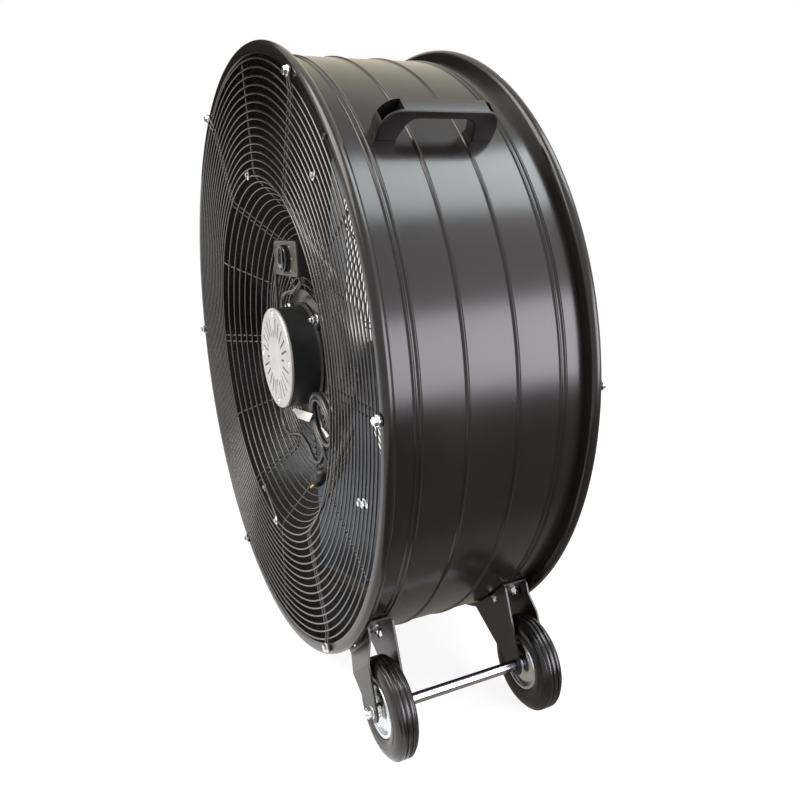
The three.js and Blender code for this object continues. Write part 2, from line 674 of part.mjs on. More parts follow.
function addSwitchBox() {
  const round = { curveSegments: 3 };
  const shell = alongY(roundedRectangle(BOX_WIDTH, BOX_HEIGHT, BOX_CORNER),
    BOX_MOUTH, BOX_BACK, round);
  const hollow = alongY(roundedRectangle(BOX_WIDTH - 2 * BOX_WALL, BOX_HEIGHT - 2 * BOX_WALL,
    BOX_CORNER - BOX_WALL), BOX_MOUTH - 1, BOX_BACK - BOX_WALL, round);
  add(boxGroup, 'switch_box', solid(shell).subtract(solid(hollow)), blackPlastic);
  const plate = alongY(roundedRectangle(BOX_WIDTH, BOX_HEIGHT, BOX_CORNER),
    -BOX_FACE, BOX_MOUTH - SEAT_GAP, round);
  const hole = cornerRadius(SPINDLE_RADIUS + RUN_GAP, 8);
  const cutter = axisLathe([[hole, -BOX_FACE - 1], [hole, BOX_MOUTH]], 8).translate(KNOB_X, 0, 0);
  add(boxGroup, 'switch_box_cover', solid(plate).subtract(solid(cutter)), blackPlastic);
  const switchDepth = 20;
  const rotarySwitch = new THREE.BoxGeometry(34, switchDepth, 34)
    .translate(KNOB_X, BOX_MOUTH + SEAT_GAP + switchDepth / 2, 0);
  add(boxGroup, 'rotary_switch', rotarySwitch, blackPlastic);
  add(boxGroup, 'run_capacitor', placedCapacitor(), castAluminium);
  addKnob();
  add(boxGroup, 'cord_gland', cordGland(), blackPlastic);
}

function placedCapacitor() {
  const x = -BOX_WIDTH / 2 + BOX_WALL + CAPACITOR_RADIUS + 5;
  return new THREE.CylinderGeometry(CAPACITOR_RADIUS, CAPACITOR_RADIUS, CAPACITOR_LENGTH, 10)
    .rotateX(Math.PI / 2)
    .translate(x, BOX_BACK - BOX_WALL - SEAT_GAP - CAPACITOR_RADIUS, 0);
}

function addKnob() {
  const seat = -BOX_FACE - SEAT_GAP;
  const face = seat - KNOB_HEIGHT;
  const dish = KNOB_RADIUS - 4;
  const outer = axisLathe([[KNOB_RADIUS - 1.5, face], [KNOB_RADIUS, seat]], 20);
  const bowl = axisLathe([[dish, face - 1], [dish - 2, face + KNOB_HEIGHT - 3]], 20);
  const grip = new THREE.BoxGeometry(KNOB_GRIP, KNOB_HEIGHT - 1, 2 * dish)
    .translate(0, face + (KNOB_HEIGHT - 1) / 2 + 0.4, 0);
  const spindle = axisLathe([[SPINDLE_RADIUS, seat - 1],
    [SPINDLE_RADIUS, BOX_MOUTH]], 8);
  const body = solid(outer).subtract(solid(bowl)).add(solid(grip)).add(solid(spindle));
  const knob = add(boxGroup, 'speed_knob', body, blackPlastic);
  knob.position.x = KNOB_X;
}

function cordGland() {
  const wide = 9;
  const narrow = CORD_DIAMETER / 2 + 2;
  return axisLathe([[wide, 0], [wide, 7], [narrow, 9], [narrow - 1, GLAND_LENGTH]], 10)
    .rotateZ(Math.PI / 2)
    .translate(-BOX_WIDTH / 2 - SEAT_GAP, GLAND_Y, 0);
}

// from the box's frame to the drum's
function fromBox(x, y, z) {
  const turn = GUARD_TURN * DEG;
  return [BOX_X + x * Math.cos(turn) - z * Math.sin(turn), y,
    BOX_Z + x * Math.sin(turn) + z * Math.cos(turn)];
}

function coilPoint(turns) {
  const half = COIL_TURNS / 2;
  const inward = turns <= half ? half - turns : turns - half;
  const reach = COIL_INNER + COIL_PITCH * inward;
  const climb = THREE.MathUtils.smoothstep(turns, half - 0.25, half + 0.25);
  const turn = (COIL_START + 360 * turns) * DEG;
  const a = (COIL_STRETCH + reach) * Math.cos(turn);
  const b = reach * Math.sin(turn);
  const [cos, sin] = polar(1, COIL_TURN);
  return [COIL_X + a * cos - b * sin, -COIL_PLANE - COIL_PITCH * climb, COIL_Z + a * sin + b * cos];
}

function coilPath() {
  const lastTurn = COIL_TURNS + (COIL_END - COIL_START) / 360;
  const points = [];
  const count = Math.round(lastTurn * 24);
  for (let i = 0; i <= count; i += 1) points.push(coilPoint(lastTurn * i / count));
  return points;
}

// the point that lies this far straight on past the end of a path
function straightOn(from, to, distance) {
  const a = new THREE.Vector3(...from);
  const b = new THREE.Vector3(...to);
  return b.clone().add(b.clone().sub(a).setLength(distance)).toArray();
}

function leastSelfGap(points, diameter) {
  let least = Infinity;
  for (let i = 0; i < points.length; i += 1) {
    for (let j = i + 8; j < points.length; j += 1) {
      const gap = new THREE.Vector3(...points[i]).distanceTo(new THREE.Vector3(...points[j]));
      least = Math.min(least, gap - diameter);
    }
  }
  return least;
}

function addCords() {
  const coil = coilPath();
  const coilStart = straightOn(coil[1], coil[0], CORD_DIAMETER);
  const coilEnd = straightOn(coil[coil.length - 2], coil[coil.length - 1], CORD_DIAMETER);
  const wound = [coilStart, ...coil, coilEnd];
  console.log('least gap between the turns of the cord:',
    leastSelfGap(coil, CORD_DIAMETER).toFixed(2), 'mm');
  add(drumFrame, 'cord_loops', tube(wound, CORD_DIAMETER, 6, coil.length + 1), cordJacket);

  const glandMouth = -BOX_WIDTH / 2 - SEAT_GAP;
  const entry = fromBox(glandMouth - GLAND_LENGTH - SEAT_GAP, GLAND_Y, 0);
  const clearOfGland = fromBox(glandMouth - GLAND_LENGTH - 8, GLAND_Y, 0);
  const arrival = straightOn(coil[0], coilStart, SEAT_GAP);
  const arrivalLead = straightOn(coil[0], coilStart, 14);
  const route = [entry, clearOfGland, [-106, -97, 152], [-122, -95, 118], [-127, -93, 60],
    [-129, -92, 0], [-130, -92, -60], [-131, -94, -112], [-124, -97, -150], [-104, -98, -168],
    [-76, -98, -171], [-40, -98, -160], [-6, -97, -152], [22, -97, -158], [45, -97, -171],
    [70, -97, -178], [93, -97, -168], [112, -98, -146], arrivalLead, arrival];
  add(drumFrame, 'supply_cord', tube(route, CORD_DIAMETER, 8, 38), cordJacket);

  const plugRear = new THREE.Vector3(132, -98, -167);
  const plugAxis = new THREE.Vector3(-0.72, -0.17, -0.67).normalize();
  const along = (distance) => plugRear.clone().addScaledVector(plugAxis, distance).toArray();
  const leave = straightOn(coil[coil.length - 1], coilEnd, SEAT_GAP);
  const leaveLead = straightOn(coil[coil.length - 1], coilEnd, 8);
  const tail = [leave, leaveLead, [140, -104, -141], along(-12), along(-SEAT_GAP)];
  add(drumFrame, 'cord_tail', tube(tail, CORD_DIAMETER, 8, 12), cordJacket);

  const plug = new THREE.Group();
  plug.position.copy(plugRear);
  plug.quaternion.setFromUnitVectors(new THREE.Vector3(0, 1, 0), plugAxis);
  drumFrame.add(plug);
  add(plug, 'plug_body', axisLathe([[5.5, 0], [6.5, 16], [PLUG_RADIUS, 24],
    [PLUG_RADIUS, PLUG_LENGTH - 3], [PLUG_RADIUS - 2, PLUG_LENGTH]], 10), blackPlastic);
  for (const [name, side] of [['plug_pin_1', -1], ['plug_pin_2', 1]]) {
    const pin = add(plug, name, axisLathe([[PIN_RADIUS, 0], [PIN_RADIUS, PIN_LENGTH]], 8), pinBrass);
    pin.position.set(0, PLUG_LENGTH + SEAT_GAP, side * PIN_SPREAD / 2 * 0.8);
  }

  const canSpot = (reach) => {
    const [x, z] = polar(reach, 126);
    return [x, -105, z];
  };
  const leadStart = fromBox(14, GLAND_Y, -BOX_HEIGHT / 2 - SEAT_GAP);
  const leadDrop = fromBox(14, GLAND_Y, -BOX_HEIGHT / 2 - 12);
  add(drumFrame, 'motor_lead', tube([leadStart, leadDrop, [6, -102, 116], [-28, -104, 108],
    [-52, -105, 96], canSpot(MOTOR_RADIUS + 9), canSpot(MOTOR_RADIUS + SEAT_GAP)],
  LEAD_DIAMETER, 8, 12), cordJacket);
}

// ---------------------------------------------------------------- handle
function drumCutter(radius, halfLength) {
  const r = cornerRadius(radius, DRUM_FACETS);
  return axisLathe([[r, -halfLength], [r, halfLength]], DRUM_FACETS);
}

function carryHandle() {
  const top = DRUM_RADIUS + HANDLE_RISE;
  const under = top - HANDLE_BAR;
  const foot = DRUM_RADIUS - 6;
  const shape = new THREE.Shape();
  shape.moveTo(HANDLE_LOW, foot);
  shape.lineTo(HANDLE_LOW, DRUM_RADIUS + 14);
  shape.quadraticCurveTo(HANDLE_LOW + 2, top - 2, HANDLE_LOW + 28, top);
  shape.lineTo(HANDLE_HIGH - 22, top);
  shape.quadraticCurveTo(HANDLE_HIGH - 4, top - 2, HANDLE_HIGH, DRUM_RADIUS + 16);
  shape.lineTo(HANDLE_HIGH, foot);
  shape.lineTo(FINGER_HIGH + 4, foot);
  shape.lineTo(FINGER_HIGH, under - 12);
  shape.quadraticCurveTo(FINGER_HIGH - 3, under, FINGER_HIGH - 16, under);
  shape.lineTo(FINGER_LOW + 16, under);
  shape.quadraticCurveTo(FINGER_LOW + 3, under, FINGER_LOW, under - 12);
  shape.lineTo(FINGER_LOW - 4, foot);
  const edge = 3;
  const bar = alongX(extruded(shape, HANDLE_WIDTH - 2 * edge, {
    curveSegments: 4, bevelEnabled: true, bevelThickness: edge, bevelSize: edge,
    bevelOffset: -edge, bevelSegments: 1,
  }), HANDLE_WIDTH - 2 * edge);
  const turn = Math.PI / 2 - HANDLE_TURN * DEG;
  const cutter = drumCutter(DRUM_RADIUS + SEAT_GAP, HANDLE_HIGH - HANDLE_LOW).rotateY(-turn);
  let body = solid(bar).subtract(solid(cutter));
  const pocket = new THREE.BoxGeometry(HANDLE_WIDTH - 9, 20, 60);
  for (const y of [HANDLE_LOW + 13, HANDLE_HIGH - 12]) {
    const cut = pocket.clone().translate(0, y, DRUM_RADIUS + 10 + 30);
    body = body.subtract(solid(cut));
  }
  return body;
}

// ---------------------------------------------------------------- forks and wheels
// [tangential place, y] of a fork's two bolts; side is -1 at the rear, +1 at the front
function forkBoltPlaces(side) {
  return [-1, 1].map((way) => ({
    t: way * FORK_BOLT_SPREAD, y: side * WHEEL_PLANE - way * FORK_BOLT_PLACE }));
}

function forkTurn() {
  return Math.PI / 2 + AXLE_ANGLE * DEG;
}

// a pin along the fork bolt's own radius, in the drum's frame
function forkBoltCutter(place) {
  const swing = Math.asin(place.t / DRUM_RADIUS);
  return holeCutter(FORK_BOLT, DRUM_RADIUS - 20, DRUM_RADIUS + 20)
    .rotateX(Math.PI / 2).rotateY(forkTurn() + swing).translate(0, place.y, 0);
}

function wheelFork(side) {
  const base = DRUM_RADIUS - 8;
  const joggle = RIM_RADIUS + 3;
  const jogEnd = joggle + 30;
  const tip = AXLE_REACH + FORK_END_RADIUS + 5;
  const plane = side * WHEEL_PLANE;
  const inner = FORK_TOP_HALF - FORK_SHEET;
  const innerLow = FORK_LOW_HALF - FORK_SHEET;
  const length = 2 * FORK_BASE_HALF + 10;
  const cheeks = [-1, 1].map((way) => {
    const corners = [[inner, base], [FORK_TOP_HALF, base], [FORK_TOP_HALF, joggle],
      [FORK_LOW_HALF, jogEnd], [FORK_LOW_HALF, tip], [innerLow, tip], [innerLow, jogEnd],
      [inner, joggle]].map(([y, z]) => [plane + way * y, z]);
    return solid(alongX(extruded(outline(corners), length), length));
  });
  const shape = new THREE.Shape();
  shape.moveTo(-FORK_BASE_HALF, base);
  shape.lineTo(FORK_BASE_HALF, base);
  shape.lineTo(FORK_BASE_HALF, WEB_RADIUS + 4);
  shape.lineTo(40, jogEnd + 2);
  shape.lineTo(24, AXLE_REACH - 36);
  shape.absarc(0, AXLE_REACH, FORK_END_RADIUS, 0, Math.PI);
  shape.lineTo(-24, AXLE_REACH - 36);
  shape.lineTo(-40, jogEnd + 2);
  shape.lineTo(-FORK_BASE_HALF, WEB_RADIUS + 4);
  const cut = solid(alongY(shape, plane - 40, plane + 40, { curveSegments: 6 }));
  const drum = solid(drumCutter(WEB_RADIUS, 2 * WHEEL_PLANE).rotateY(-forkTurn()));
  const webShell = ringLathe([[WEB_RADIUS, plane - FORK_TOP_HALF],
    [WEB_RADIUS + FORK_SHEET, plane - FORK_TOP_HALF],
    [WEB_RADIUS + FORK_SHEET, plane + FORK_TOP_HALF], [WEB_RADIUS, plane + FORK_TOP_HALF]]
    .map(([r, y]) => [cornerRadius(r, DRUM_FACETS), y]), DRUM_FACETS).rotateY(-forkTurn());
  let body = joined(cheeks).intersect(cut).subtract(drum);
  body = body.add(solid(webShell).intersect(cut));
  const bore = cornerRadius(AXLE_RADIUS + SEAT_GAP, 12);
  const axleHole = axisLathe([[bore, plane - 40], [bore, plane + 40]], 12)
    .translate(0, 0, AXLE_REACH);
  body = body.subtract(solid(axleHole));
  for (const place of forkBoltPlaces(side)) {
    body = body.subtract(solid(forkBoltCutter(place).rotateY(-forkTurn())));
  }
  return body;
}

function tyre() {
  const half = TYRE_WIDTH / 2;
  const tread = TREAD_WIDTH / 2;
  const bead = HUB_DISC_RADIUS + SEAT_GAP;
  const groove = 1.8;
  const side = [[bead, half - 2.5], [bead + 7, half], [WHEEL_RADIUS - 14, half],
    [WHEEL_RADIUS, tread], [WHEEL_RADIUS, 4.6],
    [WHEEL_RADIUS - groove, 3.5], [WHEEL_RADIUS, 2.4]];
  const mirrored = side.map(([r, y]) => [r, -y]).reverse();
  return ringLathe([...side, ...mirrored].map(([r, y]) => [cornerRadius(r, WHEEL_FACETS), y]),
    WHEEL_FACETS);
}

function wheelHub() {
  const half = FORK_LOW_HALF - FORK_SHEET - SEAT_GAP;
  const bore = AXLE_RADIUS + RUN_GAP;
  const side = [[bore, half], [bore + 5, half], [bore + 8, 11], [HUB_DISC_RADIUS - 8, 9],
    [HUB_DISC_RADIUS - 3, 15.5], [HUB_DISC_RADIUS, 15]];
  const mirrored = side.map(([r, y]) => [r, -y]).reverse();
  return ringLathe([...side, ...mirrored].map(([r, y]) => [cornerRadius(r, WHEEL_FACETS), y]),
    WHEEL_FACETS);
}

function addWheels() {
  const forks = radialGroup(-AXLE_ANGLE);
  const outerCheek = WHEEL_PLANE + FORK_LOW_HALF;
  const innerCheek = WHEEL_PLANE - FORK_LOW_HALF;
  const nutSeat = outerCheek + SEAT_GAP;
  const rodEnd = nutSeat + NUT_HEIGHT * 0.6;
  for (const [name, side] of [['rear', -1], ['front', 1]]) {
    add(forks, `${name}_fork`, wheelFork(side), blackPaint);
    forkBoltPlaces(side).forEach((place, i) => {
      const swing = Math.asin(place.t / DRUM_RADIUS);
      const bolt = add(forks, `${name}_fork_bolt_${i + 1}`,
        hexBolt(FORK_BOLT, 13, 2 * FORK_BOLT, 5.6), zincSteel);
      const seat = cornerRadius(WEB_RADIUS + FORK_SHEET, DRUM_FACETS) + SEAT_GAP;
      bolt.position.set(seat * Math.sin(swing), place.y, seat * Math.cos(swing));
      bolt.rotation.set(-Math.PI / 2, 0, 0);
      bolt.rotateOnWorldAxis(new THREE.Vector3(0, 1, 0), swing);
    });
    const wheel = new THREE.Group();
    wheel.position.set(0, side * WHEEL_PLANE, AXLE_REACH);
    wheel.rotation.y = -forks.rotation.y;
    forks.add(wheel);
    add(wheel, `${name}_tyre`, tyre(), tyreRubber);
    add(wheel, `${name}_wheel_hub`, wheelHub(), zincSteel);
    const nut = add(forks, `${name}_axle_nut`, axleNut(rodEnd - nutSeat), zincSteel);
    nut.position.set(0, side * nutSeat, AXLE_REACH);
    if (side < 0) nut.rotation.x = Math.PI;
  }
  const rod = add(forks, 'axle_rod', axisLathe([[AXLE_RADIUS, -rodEnd], [AXLE_RADIUS, rodEnd]], 12),
    brightSteel);
  rod.position.z = AXLE_REACH;
  const reach = innerCheek - SEAT_GAP;
  const spacer = add(forks, 'axle_spacer',
    washer(AXLE_RADIUS + SEAT_GAP, SPACER_RADIUS, -reach, reach, 12), zincSteel);
  spacer.position.z = AXLE_REACH;
}

// a cap nut whose seat is at y = 0
function axleNut(rodDepth) {
  const bore = cornerRadius(AXLE_RADIUS + SEAT_GAP, 12);
  const floor = rodDepth + SEAT_GAP;
  return axisLathe([[bore, floor], [bore, 0], [10.5, 0], [10.5, 8], [8, 9],
    [6, NUT_HEIGHT - 2], [3, NUT_HEIGHT]].reverse(), 12);
}

addGuards();
add(drumFrame, 'drum_shell', drumShell(), blackPaint);
addMotor();
addImpeller();
addSwitchBox();
addCords();
add(radialGroup(HANDLE_TURN), 'carry_handle', carryHandle(), blackPlastic);
addWheels();

export default fan;
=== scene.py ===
"""Portable drum fan on two wheels: its finished surfaces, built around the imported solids.

Sizes are millimetres from the middle of the drum unless a name says otherwise: +X to the
wheels, +Y to the air outlet, +Z up. Pieces turn them into metres when they are finished.
"""

import math

import bmesh
import bpy
from mathutils import Matrix, Quaternion, Vector


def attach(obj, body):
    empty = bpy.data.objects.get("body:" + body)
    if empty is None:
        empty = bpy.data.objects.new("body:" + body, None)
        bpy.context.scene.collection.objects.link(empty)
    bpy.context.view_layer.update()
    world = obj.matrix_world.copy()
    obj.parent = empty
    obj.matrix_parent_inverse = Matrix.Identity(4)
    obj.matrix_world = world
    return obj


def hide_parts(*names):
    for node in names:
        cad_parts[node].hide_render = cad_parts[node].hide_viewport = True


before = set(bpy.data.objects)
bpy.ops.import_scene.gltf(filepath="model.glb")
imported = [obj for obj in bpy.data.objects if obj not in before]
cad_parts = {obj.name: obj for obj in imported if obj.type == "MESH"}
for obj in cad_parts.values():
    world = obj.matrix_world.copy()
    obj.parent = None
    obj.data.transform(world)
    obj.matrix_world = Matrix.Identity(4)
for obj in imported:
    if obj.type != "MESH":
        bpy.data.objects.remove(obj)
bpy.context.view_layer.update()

# ------------------------------------------------------------------ driving sizes
MM = 0.001
AXIS_HEIGHT = 0.505  # metres, drum axis above the floor

RIM_RADIUS = 505
RIM_ROLL = 10
RIM_PLANE = 150.5
RIM_FACE = RIM_PLANE + RIM_ROLL
DRUM_RADIUS = 486
DRUM_WALL = 1.5
SINGLE_BEAD_PLACE = 38
DOUBLE_BEAD_PLACE = 108
BEAD_HALF_WIDTH = 4
SINGLE_BEAD_HEIGHT = 2.4
BEAD_HEIGHT = 1.6
BEAD_SHOULDER = 0.4  # how close a bead's side points are
TWIN_BEAD_SPREAD = 3.8
TWIN_BEAD_HALF_WIDTH = 3.3
RIM_CURL = 8.4  # radius of the rolled edge
RIM_LIP = 6.5  # radius of the turn to the inside

GUARD_TURN = 4.5  # degrees, first double spoke above +X
RING_WIRE = 3
SPOKE_WIRE = 3.4
SPOKE_SETS = 6
SPOKE_PAIR_SPREAD = 12.5
OUTER_RING = 479.4
RING_PITCH = 12.3
GUARD_FACE = 160
DISH_RISE = 4.5
BEND_PLANE = -GUARD_FACE + DISH_RISE
BEND_RING = 307.4
FLOOR_RADIUS = 226
FLOOR_PLANE = 81
FUNNEL_RINGS = 8
GUARD_BOLT_RADIUS = 492
PLATE_EDGE = 116
CENTRE_DISC = 84

MOTOR_RADIUS = 87.6
MOTOR_BACK = 140.5
END_CAP_RIM = 12
MOTOR_BOLT_CIRCLE = 105
MOTOR_BOLT_TURN = 47  # degrees
FLANGE_BACK = -86.8
FLANGE = 4
SHIELD_NOSE = 60
SHIELD_NOSE_END = 64

FAN_PLANE = -20
HUB_RADIUS = 88
HUB_LENGTH = 44
BLADE_COUNT = 4
BLADE_ROOT = 72
BLADE_TIP = 468
BLADE_SHEET = 2.5
BLADE_ROOT_CHORD = 62
BLADE_CHORD = 168
BLADE_ROOT_PITCH = 36  # degrees
BLADE_TIP_PITCH = 17
BLADE_CAMBER = 0.07
BLADE_SWEEP = 14
BLADE_CORNER = 0.93  # share of the span where the tip's corners start to round
HUB_SCREWS = 8

BOX_X = 14.5
BOX_Z = 173.5
BOX_WIDTH = 122
BOX_HEIGHT = 58
BOX_CORNER = 9
BOX_FACE = 118.7
BOX_BACK = -82.8
BOX_COVER = 3
KNOB_X = 5
KNOB_RADIUS = 22.5
KNOB_POSITIONS = 4
KNOB_STEP = 45  # degrees
GLAND_LENGTH = 22
GLAND_Y = (BOX_BACK - BOX_FACE + BOX_COVER + 0.3) / 2

CORD_DIAMETER = 8
COIL_X = 133
COIL_Z = -80
COIL_PLANE = 98
COIL_TURNS = 4
COIL_PITCH = 8.8
COIL_INNER = 24
COIL_STRETCH = 14
COIL_TURN = -28  # degrees
COIL_START = -50
COIL_END = -80
COIL_STEPS = 24  # points a turn
PLUG_REAR = Vector((132, -98, -167))
PLUG_AXIS = Vector((-0.72, -0.17, -0.67)).normalized()
PLUG_LENGTH = 50
PLUG_RADIUS = 13
PIN_SPREAD = 7.6
LEAD_STRANDS = 3
LEAD_STRAND_RADIUS = 1.9
LEAD_SPREAD = 2.1
LEAD_TWIST = 0.16  # radians a step

HANDLE_TURN = 48.2  # degrees above +X
HANDLE_LOW = -92
HANDLE_HIGH = 81
HANDLE_RISE = 46
HANDLE_BAR = 13
HANDLE_WIDTH = 25
HANDLE_SEAT = DRUM_RADIUS + 9  # floor of the screw pockets
FINGER_LOW = -57
FINGER_HIGH = 45

WHEEL_RADIUS = 74.2
AXLE_REACH = 600.5
WHEEL_PLANE = 122
TYRE_WIDTH = 37
HUB_DISC_RADIUS = 41
AXLE_RADIUS = 6
SPACER_RADIUS = 8.2
FORK_SHEET = 3
FORK_TOP_HALF = 16.5
FORK_LOW_HALF = 25.5
FORK_BASE_HALF = 58
FORK_END_RADIUS = 16
FORK_BOLT_SPREAD = 26
FORK_BOLT_PLACE = 6
AXLE_ANGLE = math.degrees(math.asin((RIM_RADIUS - WHEEL_RADIUS) / AXLE_REACH))

ROUND_STEPS = 192


# ------------------------------------------------------------------ camera
CAMERA_PLACE = Vector((1.26871, -0.50888, 0.83578))  # metres
CAMERA_AZIMUTH = math.radians(64.34)
CAMERA_ELEVATION = math.radians(17.41)
CAMERA_ROLL = math.radians(-0.383)
LENS = 34.54
SENSOR = 36
PHOTO_WIDTH = 800


def camera_axes():
    """Right, up and back of the camera."""
    flat = math.cos(CAMERA_ELEVATION)
    back = Vector((math.sin(CAMERA_AZIMUTH) * flat, -math.cos(CAMERA_AZIMUTH) * flat,
                   math.sin(CAMERA_ELEVATION)))
    level = Vector((math.cos(CAMERA_AZIMUTH), math.sin(CAMERA_AZIMUTH), 0))
    upright = back.cross(level)
    right = math.cos(CAMERA_ROLL) * level + math.sin(CAMERA_ROLL) * upright
    return right, back.cross(right), back


def linked(name, data):
    """A new object, put into the scene."""
    thing = bpy.data.objects.new(name, data)
    bpy.context.scene.collection.objects.link(thing)
    return thing


def make_camera():
    data = bpy.data.cameras.new("photo_camera")
    data.lens = LENS
    data.sensor_width = SENSOR
    camera = linked("photo_camera", data)
    axes = Matrix(camera_axes()).transposed().to_4x4()
    camera.matrix_world = Matrix.Translation(CAMERA_PLACE) @ axes
    bpy.context.scene.camera = camera


def seen_at(px, py, plane):
    """The point (x, z) of the plane y = plane that the photo shows at this pixel."""
    right, up, back = camera_axes()
    scale = SENSOR / LENS / PHOTO_WIDTH
    ray = right * (px - PHOTO_WIDTH / 2) * scale - up * (py - PHOTO_WIDTH / 2) * scale - back
    start = CAMERA_PLACE - Vector((0, 0, AXIS_HEIGHT))
    point = start + ray * (plane * MM - start.y) / ray.y
    return point.x / MM, point.z / MM


make_camera()


# ------------------------------------------------------------------ mesh helpers
def turn_about_axis(degrees):
    """Turns +X towards +Z."""
    return Matrix.Rotation(-math.radians(degrees), 4, "Y")


def radial_frame(degrees):
    """Local +Z points away from the drum's axis at this angle above +X."""
    return Matrix.Rotation(math.radians(90 - degrees), 4, "Y")


def in_metres():
    """From millimetres about the drum's middle to metres above the floor."""
    return Matrix.Translation((0, 0, AXIS_HEIGHT)) @ Matrix.Scale(MM, 4)


def mesh_from(bm, name):
    """A mesh from a bmesh; the bmesh goes."""
    mesh = bpy.data.meshes.new(name)
    bm.to_mesh(mesh)
    bm.free()
    return mesh


def bmesh_of(mesh):
    """A bmesh from a mesh; the mesh goes."""
    bm = bmesh.new()
    bm.from_mesh(mesh)
    bpy.data.meshes.remove(mesh)
    return bm


def object_of(bm, name):
    """A bare object for a modifier or a tree to use."""
    return linked(name, mesh_from(bm, name))


def piece_from(name, bm, material, crease=32, place=None):
    """Turns millimetre geometry into a finished object at the origin."""
    if place is not None:
        bm.transform(place)
    bm.transform(in_metres())
    mesh = mesh_from(bm, name)
    mesh.materials.clear()
    mesh.materials.append(material)
    mesh.polygons.foreach_set("use_smooth", [True] * len(mesh.polygons))
    mesh.set_sharp_from_angle(angle=math.radians(crease))
    return linked(name, mesh)


def tidy(bm):
    """Merges doubled points and turns the faces outward."""
    bmesh.ops.remove_doubles(bm, verts=bm.verts, dist=1e-4)
    bmesh.ops.dissolve_degenerate(bm, edges=bm.edges, dist=1e-5)
    bmesh.ops.recalc_face_normals(bm, faces=bm.faces)
    return bm


def skinned(loops, closed_rows, closed_columns):
    """A surface through rows of points; open rows are capped."""
    bm = bmesh.new()
    rows = [[bm.verts.new(p) for p in loop] for loop in loops]
    count = len(rows[0])
    for i in range(len(rows) if closed_rows else len(rows) - 1):
        here, there = rows[i], rows[(i + 1) % len(rows)]
        for k in range(count if closed_columns else count - 1):
            following = (k + 1) % count
            bm.faces.new((here[k], here[following], there[following], there[k]))
    if not closed_rows and closed_columns:
        bm.faces.new(rows[0])
        bm.faces.new(rows[-1])
    return tidy(bm)


def lathe(profile, steps=ROUND_STEPS, closed=True):
    """[radius, y] corners turned round the Y axis; closed joins the last to the first."""
    loops = []
    for k in range(steps):
        a = 2 * math.pi * k / steps
        loops.append([(r * math.cos(a), y, r * math.sin(a)) for r, y in profile])
    return skinned(loops, True, closed)


def prism(outline, low, high):
    """An (x, z) outline extruded along Y."""
    return skinned([[(x, y, z) for x, z in outline] for y in (low, high)], False, True)


def arc(cx, cy, radius, start, end, steps):
    """Points on an arc, degrees."""
    return [(cx + radius * math.cos(math.radians(start + (end - start) * i / steps)),
             cy + radius * math.sin(math.radians(start + (end - start) * i / steps)))
            for i in range(steps + 1)]


def rounded_rectangle(width, height, corner):
    """An (x, z) outline about the origin."""
    x, z = width / 2 - corner, height / 2 - corner
    places = [(x, z, 0), (-x, z, 90), (-x, -z, 180), (x, -z, 270)]
    return [p for cx, cz, a in places for p in arc(cx, cz, corner, a, a + 90, 8)]


def add_to(bm, other, place=None):
    """Moves another bmesh into bm."""
    if place is not None:
        other.transform(place)
    spare = mesh_from(other, "spare")
    bm.from_mesh(spare)
    bpy.data.meshes.remove(spare)
    return bm


def mirrored(bm):
    """Turned over in y, with its faces outward."""
    bm.transform(Matrix.Scale(-1, 4, (0, 1, 0)))
    bmesh.ops.reverse_faces(bm, faces=bm.faces)
    return bm


def bevelled(bm, width, segments=3, angle=40):
    """With every edge sharper than the angle, in degrees, eased."""
    edges = [e for e in bm.edges if e.is_manifold and e.calc_face_angle(0) > math.radians(angle)]
    bmesh.ops.bevel(bm, geom=edges, offset=width, segments=segments, profile=0.5,
                    affect="EDGES", clamp_overlap=True)
    return tidy(bm)


def evaluated_mesh(thing):
    """The mesh that an object's modifiers give; the object goes."""
    graph = bpy.context.evaluated_depsgraph_get()
    mesh = bpy.data.meshes.new_from_object(thing.evaluated_get(graph), depsgraph=graph)
    bpy.data.objects.remove(thing)
    return mesh


def combined(operation, body, others):
    """Body after a boolean with each of the others, all bmeshes in millimetres."""
    base = object_of(body, "body")
    tools = [object_of(other, "tool") for other in others]
    for tool in tools:
        modifier = base.modifiers.new("combine", "BOOLEAN")
        modifier.operation = operation
        modifier.solver = "EXACT"
        modifier.object = tool
    mesh = evaluated_mesh(base)
    for tool in tools:
        bpy.data.objects.remove(tool)
    return bmesh_of(mesh)


def cut(body, *cutters):
    """Body less the cutters."""
    return combined("DIFFERENCE", body, cutters)


def rounded_path(points, reach, steps=5):
    """A path whose corners are eased over this reach."""
    points = [Vector(p) for p in points]
    eased = [points[0]]
    for before, corner, after in zip(points, points[1:], points[2:]):
        room_in = min(reach, (before - corner).length * 0.45)
        room_out = min(reach, (after - corner).length * 0.45)
        a = corner + (before - corner).normalized() * room_in
        b = corner + (after - corner).normalized() * room_out
        for i in range(steps + 1):
            t = i / steps
            eased.append((1 - t) ** 2 * a + 2 * t * (1 - t) * corner + t * t * b)
    return eased + [points[-1]]


def wires(paths, radius, resolution=2):
    """Round wires along paths, as one bmesh."""
    curve = bpy.data.curves.new("wires", "CURVE")
    curve.dimensions = "3D"
    curve.bevel_depth = radius
    curve.bevel_resolution = resolution
    curve.use_fill_caps = True
    for path in paths:
        spline = curve.splines.new("POLY")
        spline.points.add(len(path) - 1)
        for point, p in zip(spline.points, path):
            point.co = (*p, 1)
    bm = bmesh_of(evaluated_mesh(linked("wires", curve)))
    bpy.data.curves.remove(curve)
    return tidy(bm)


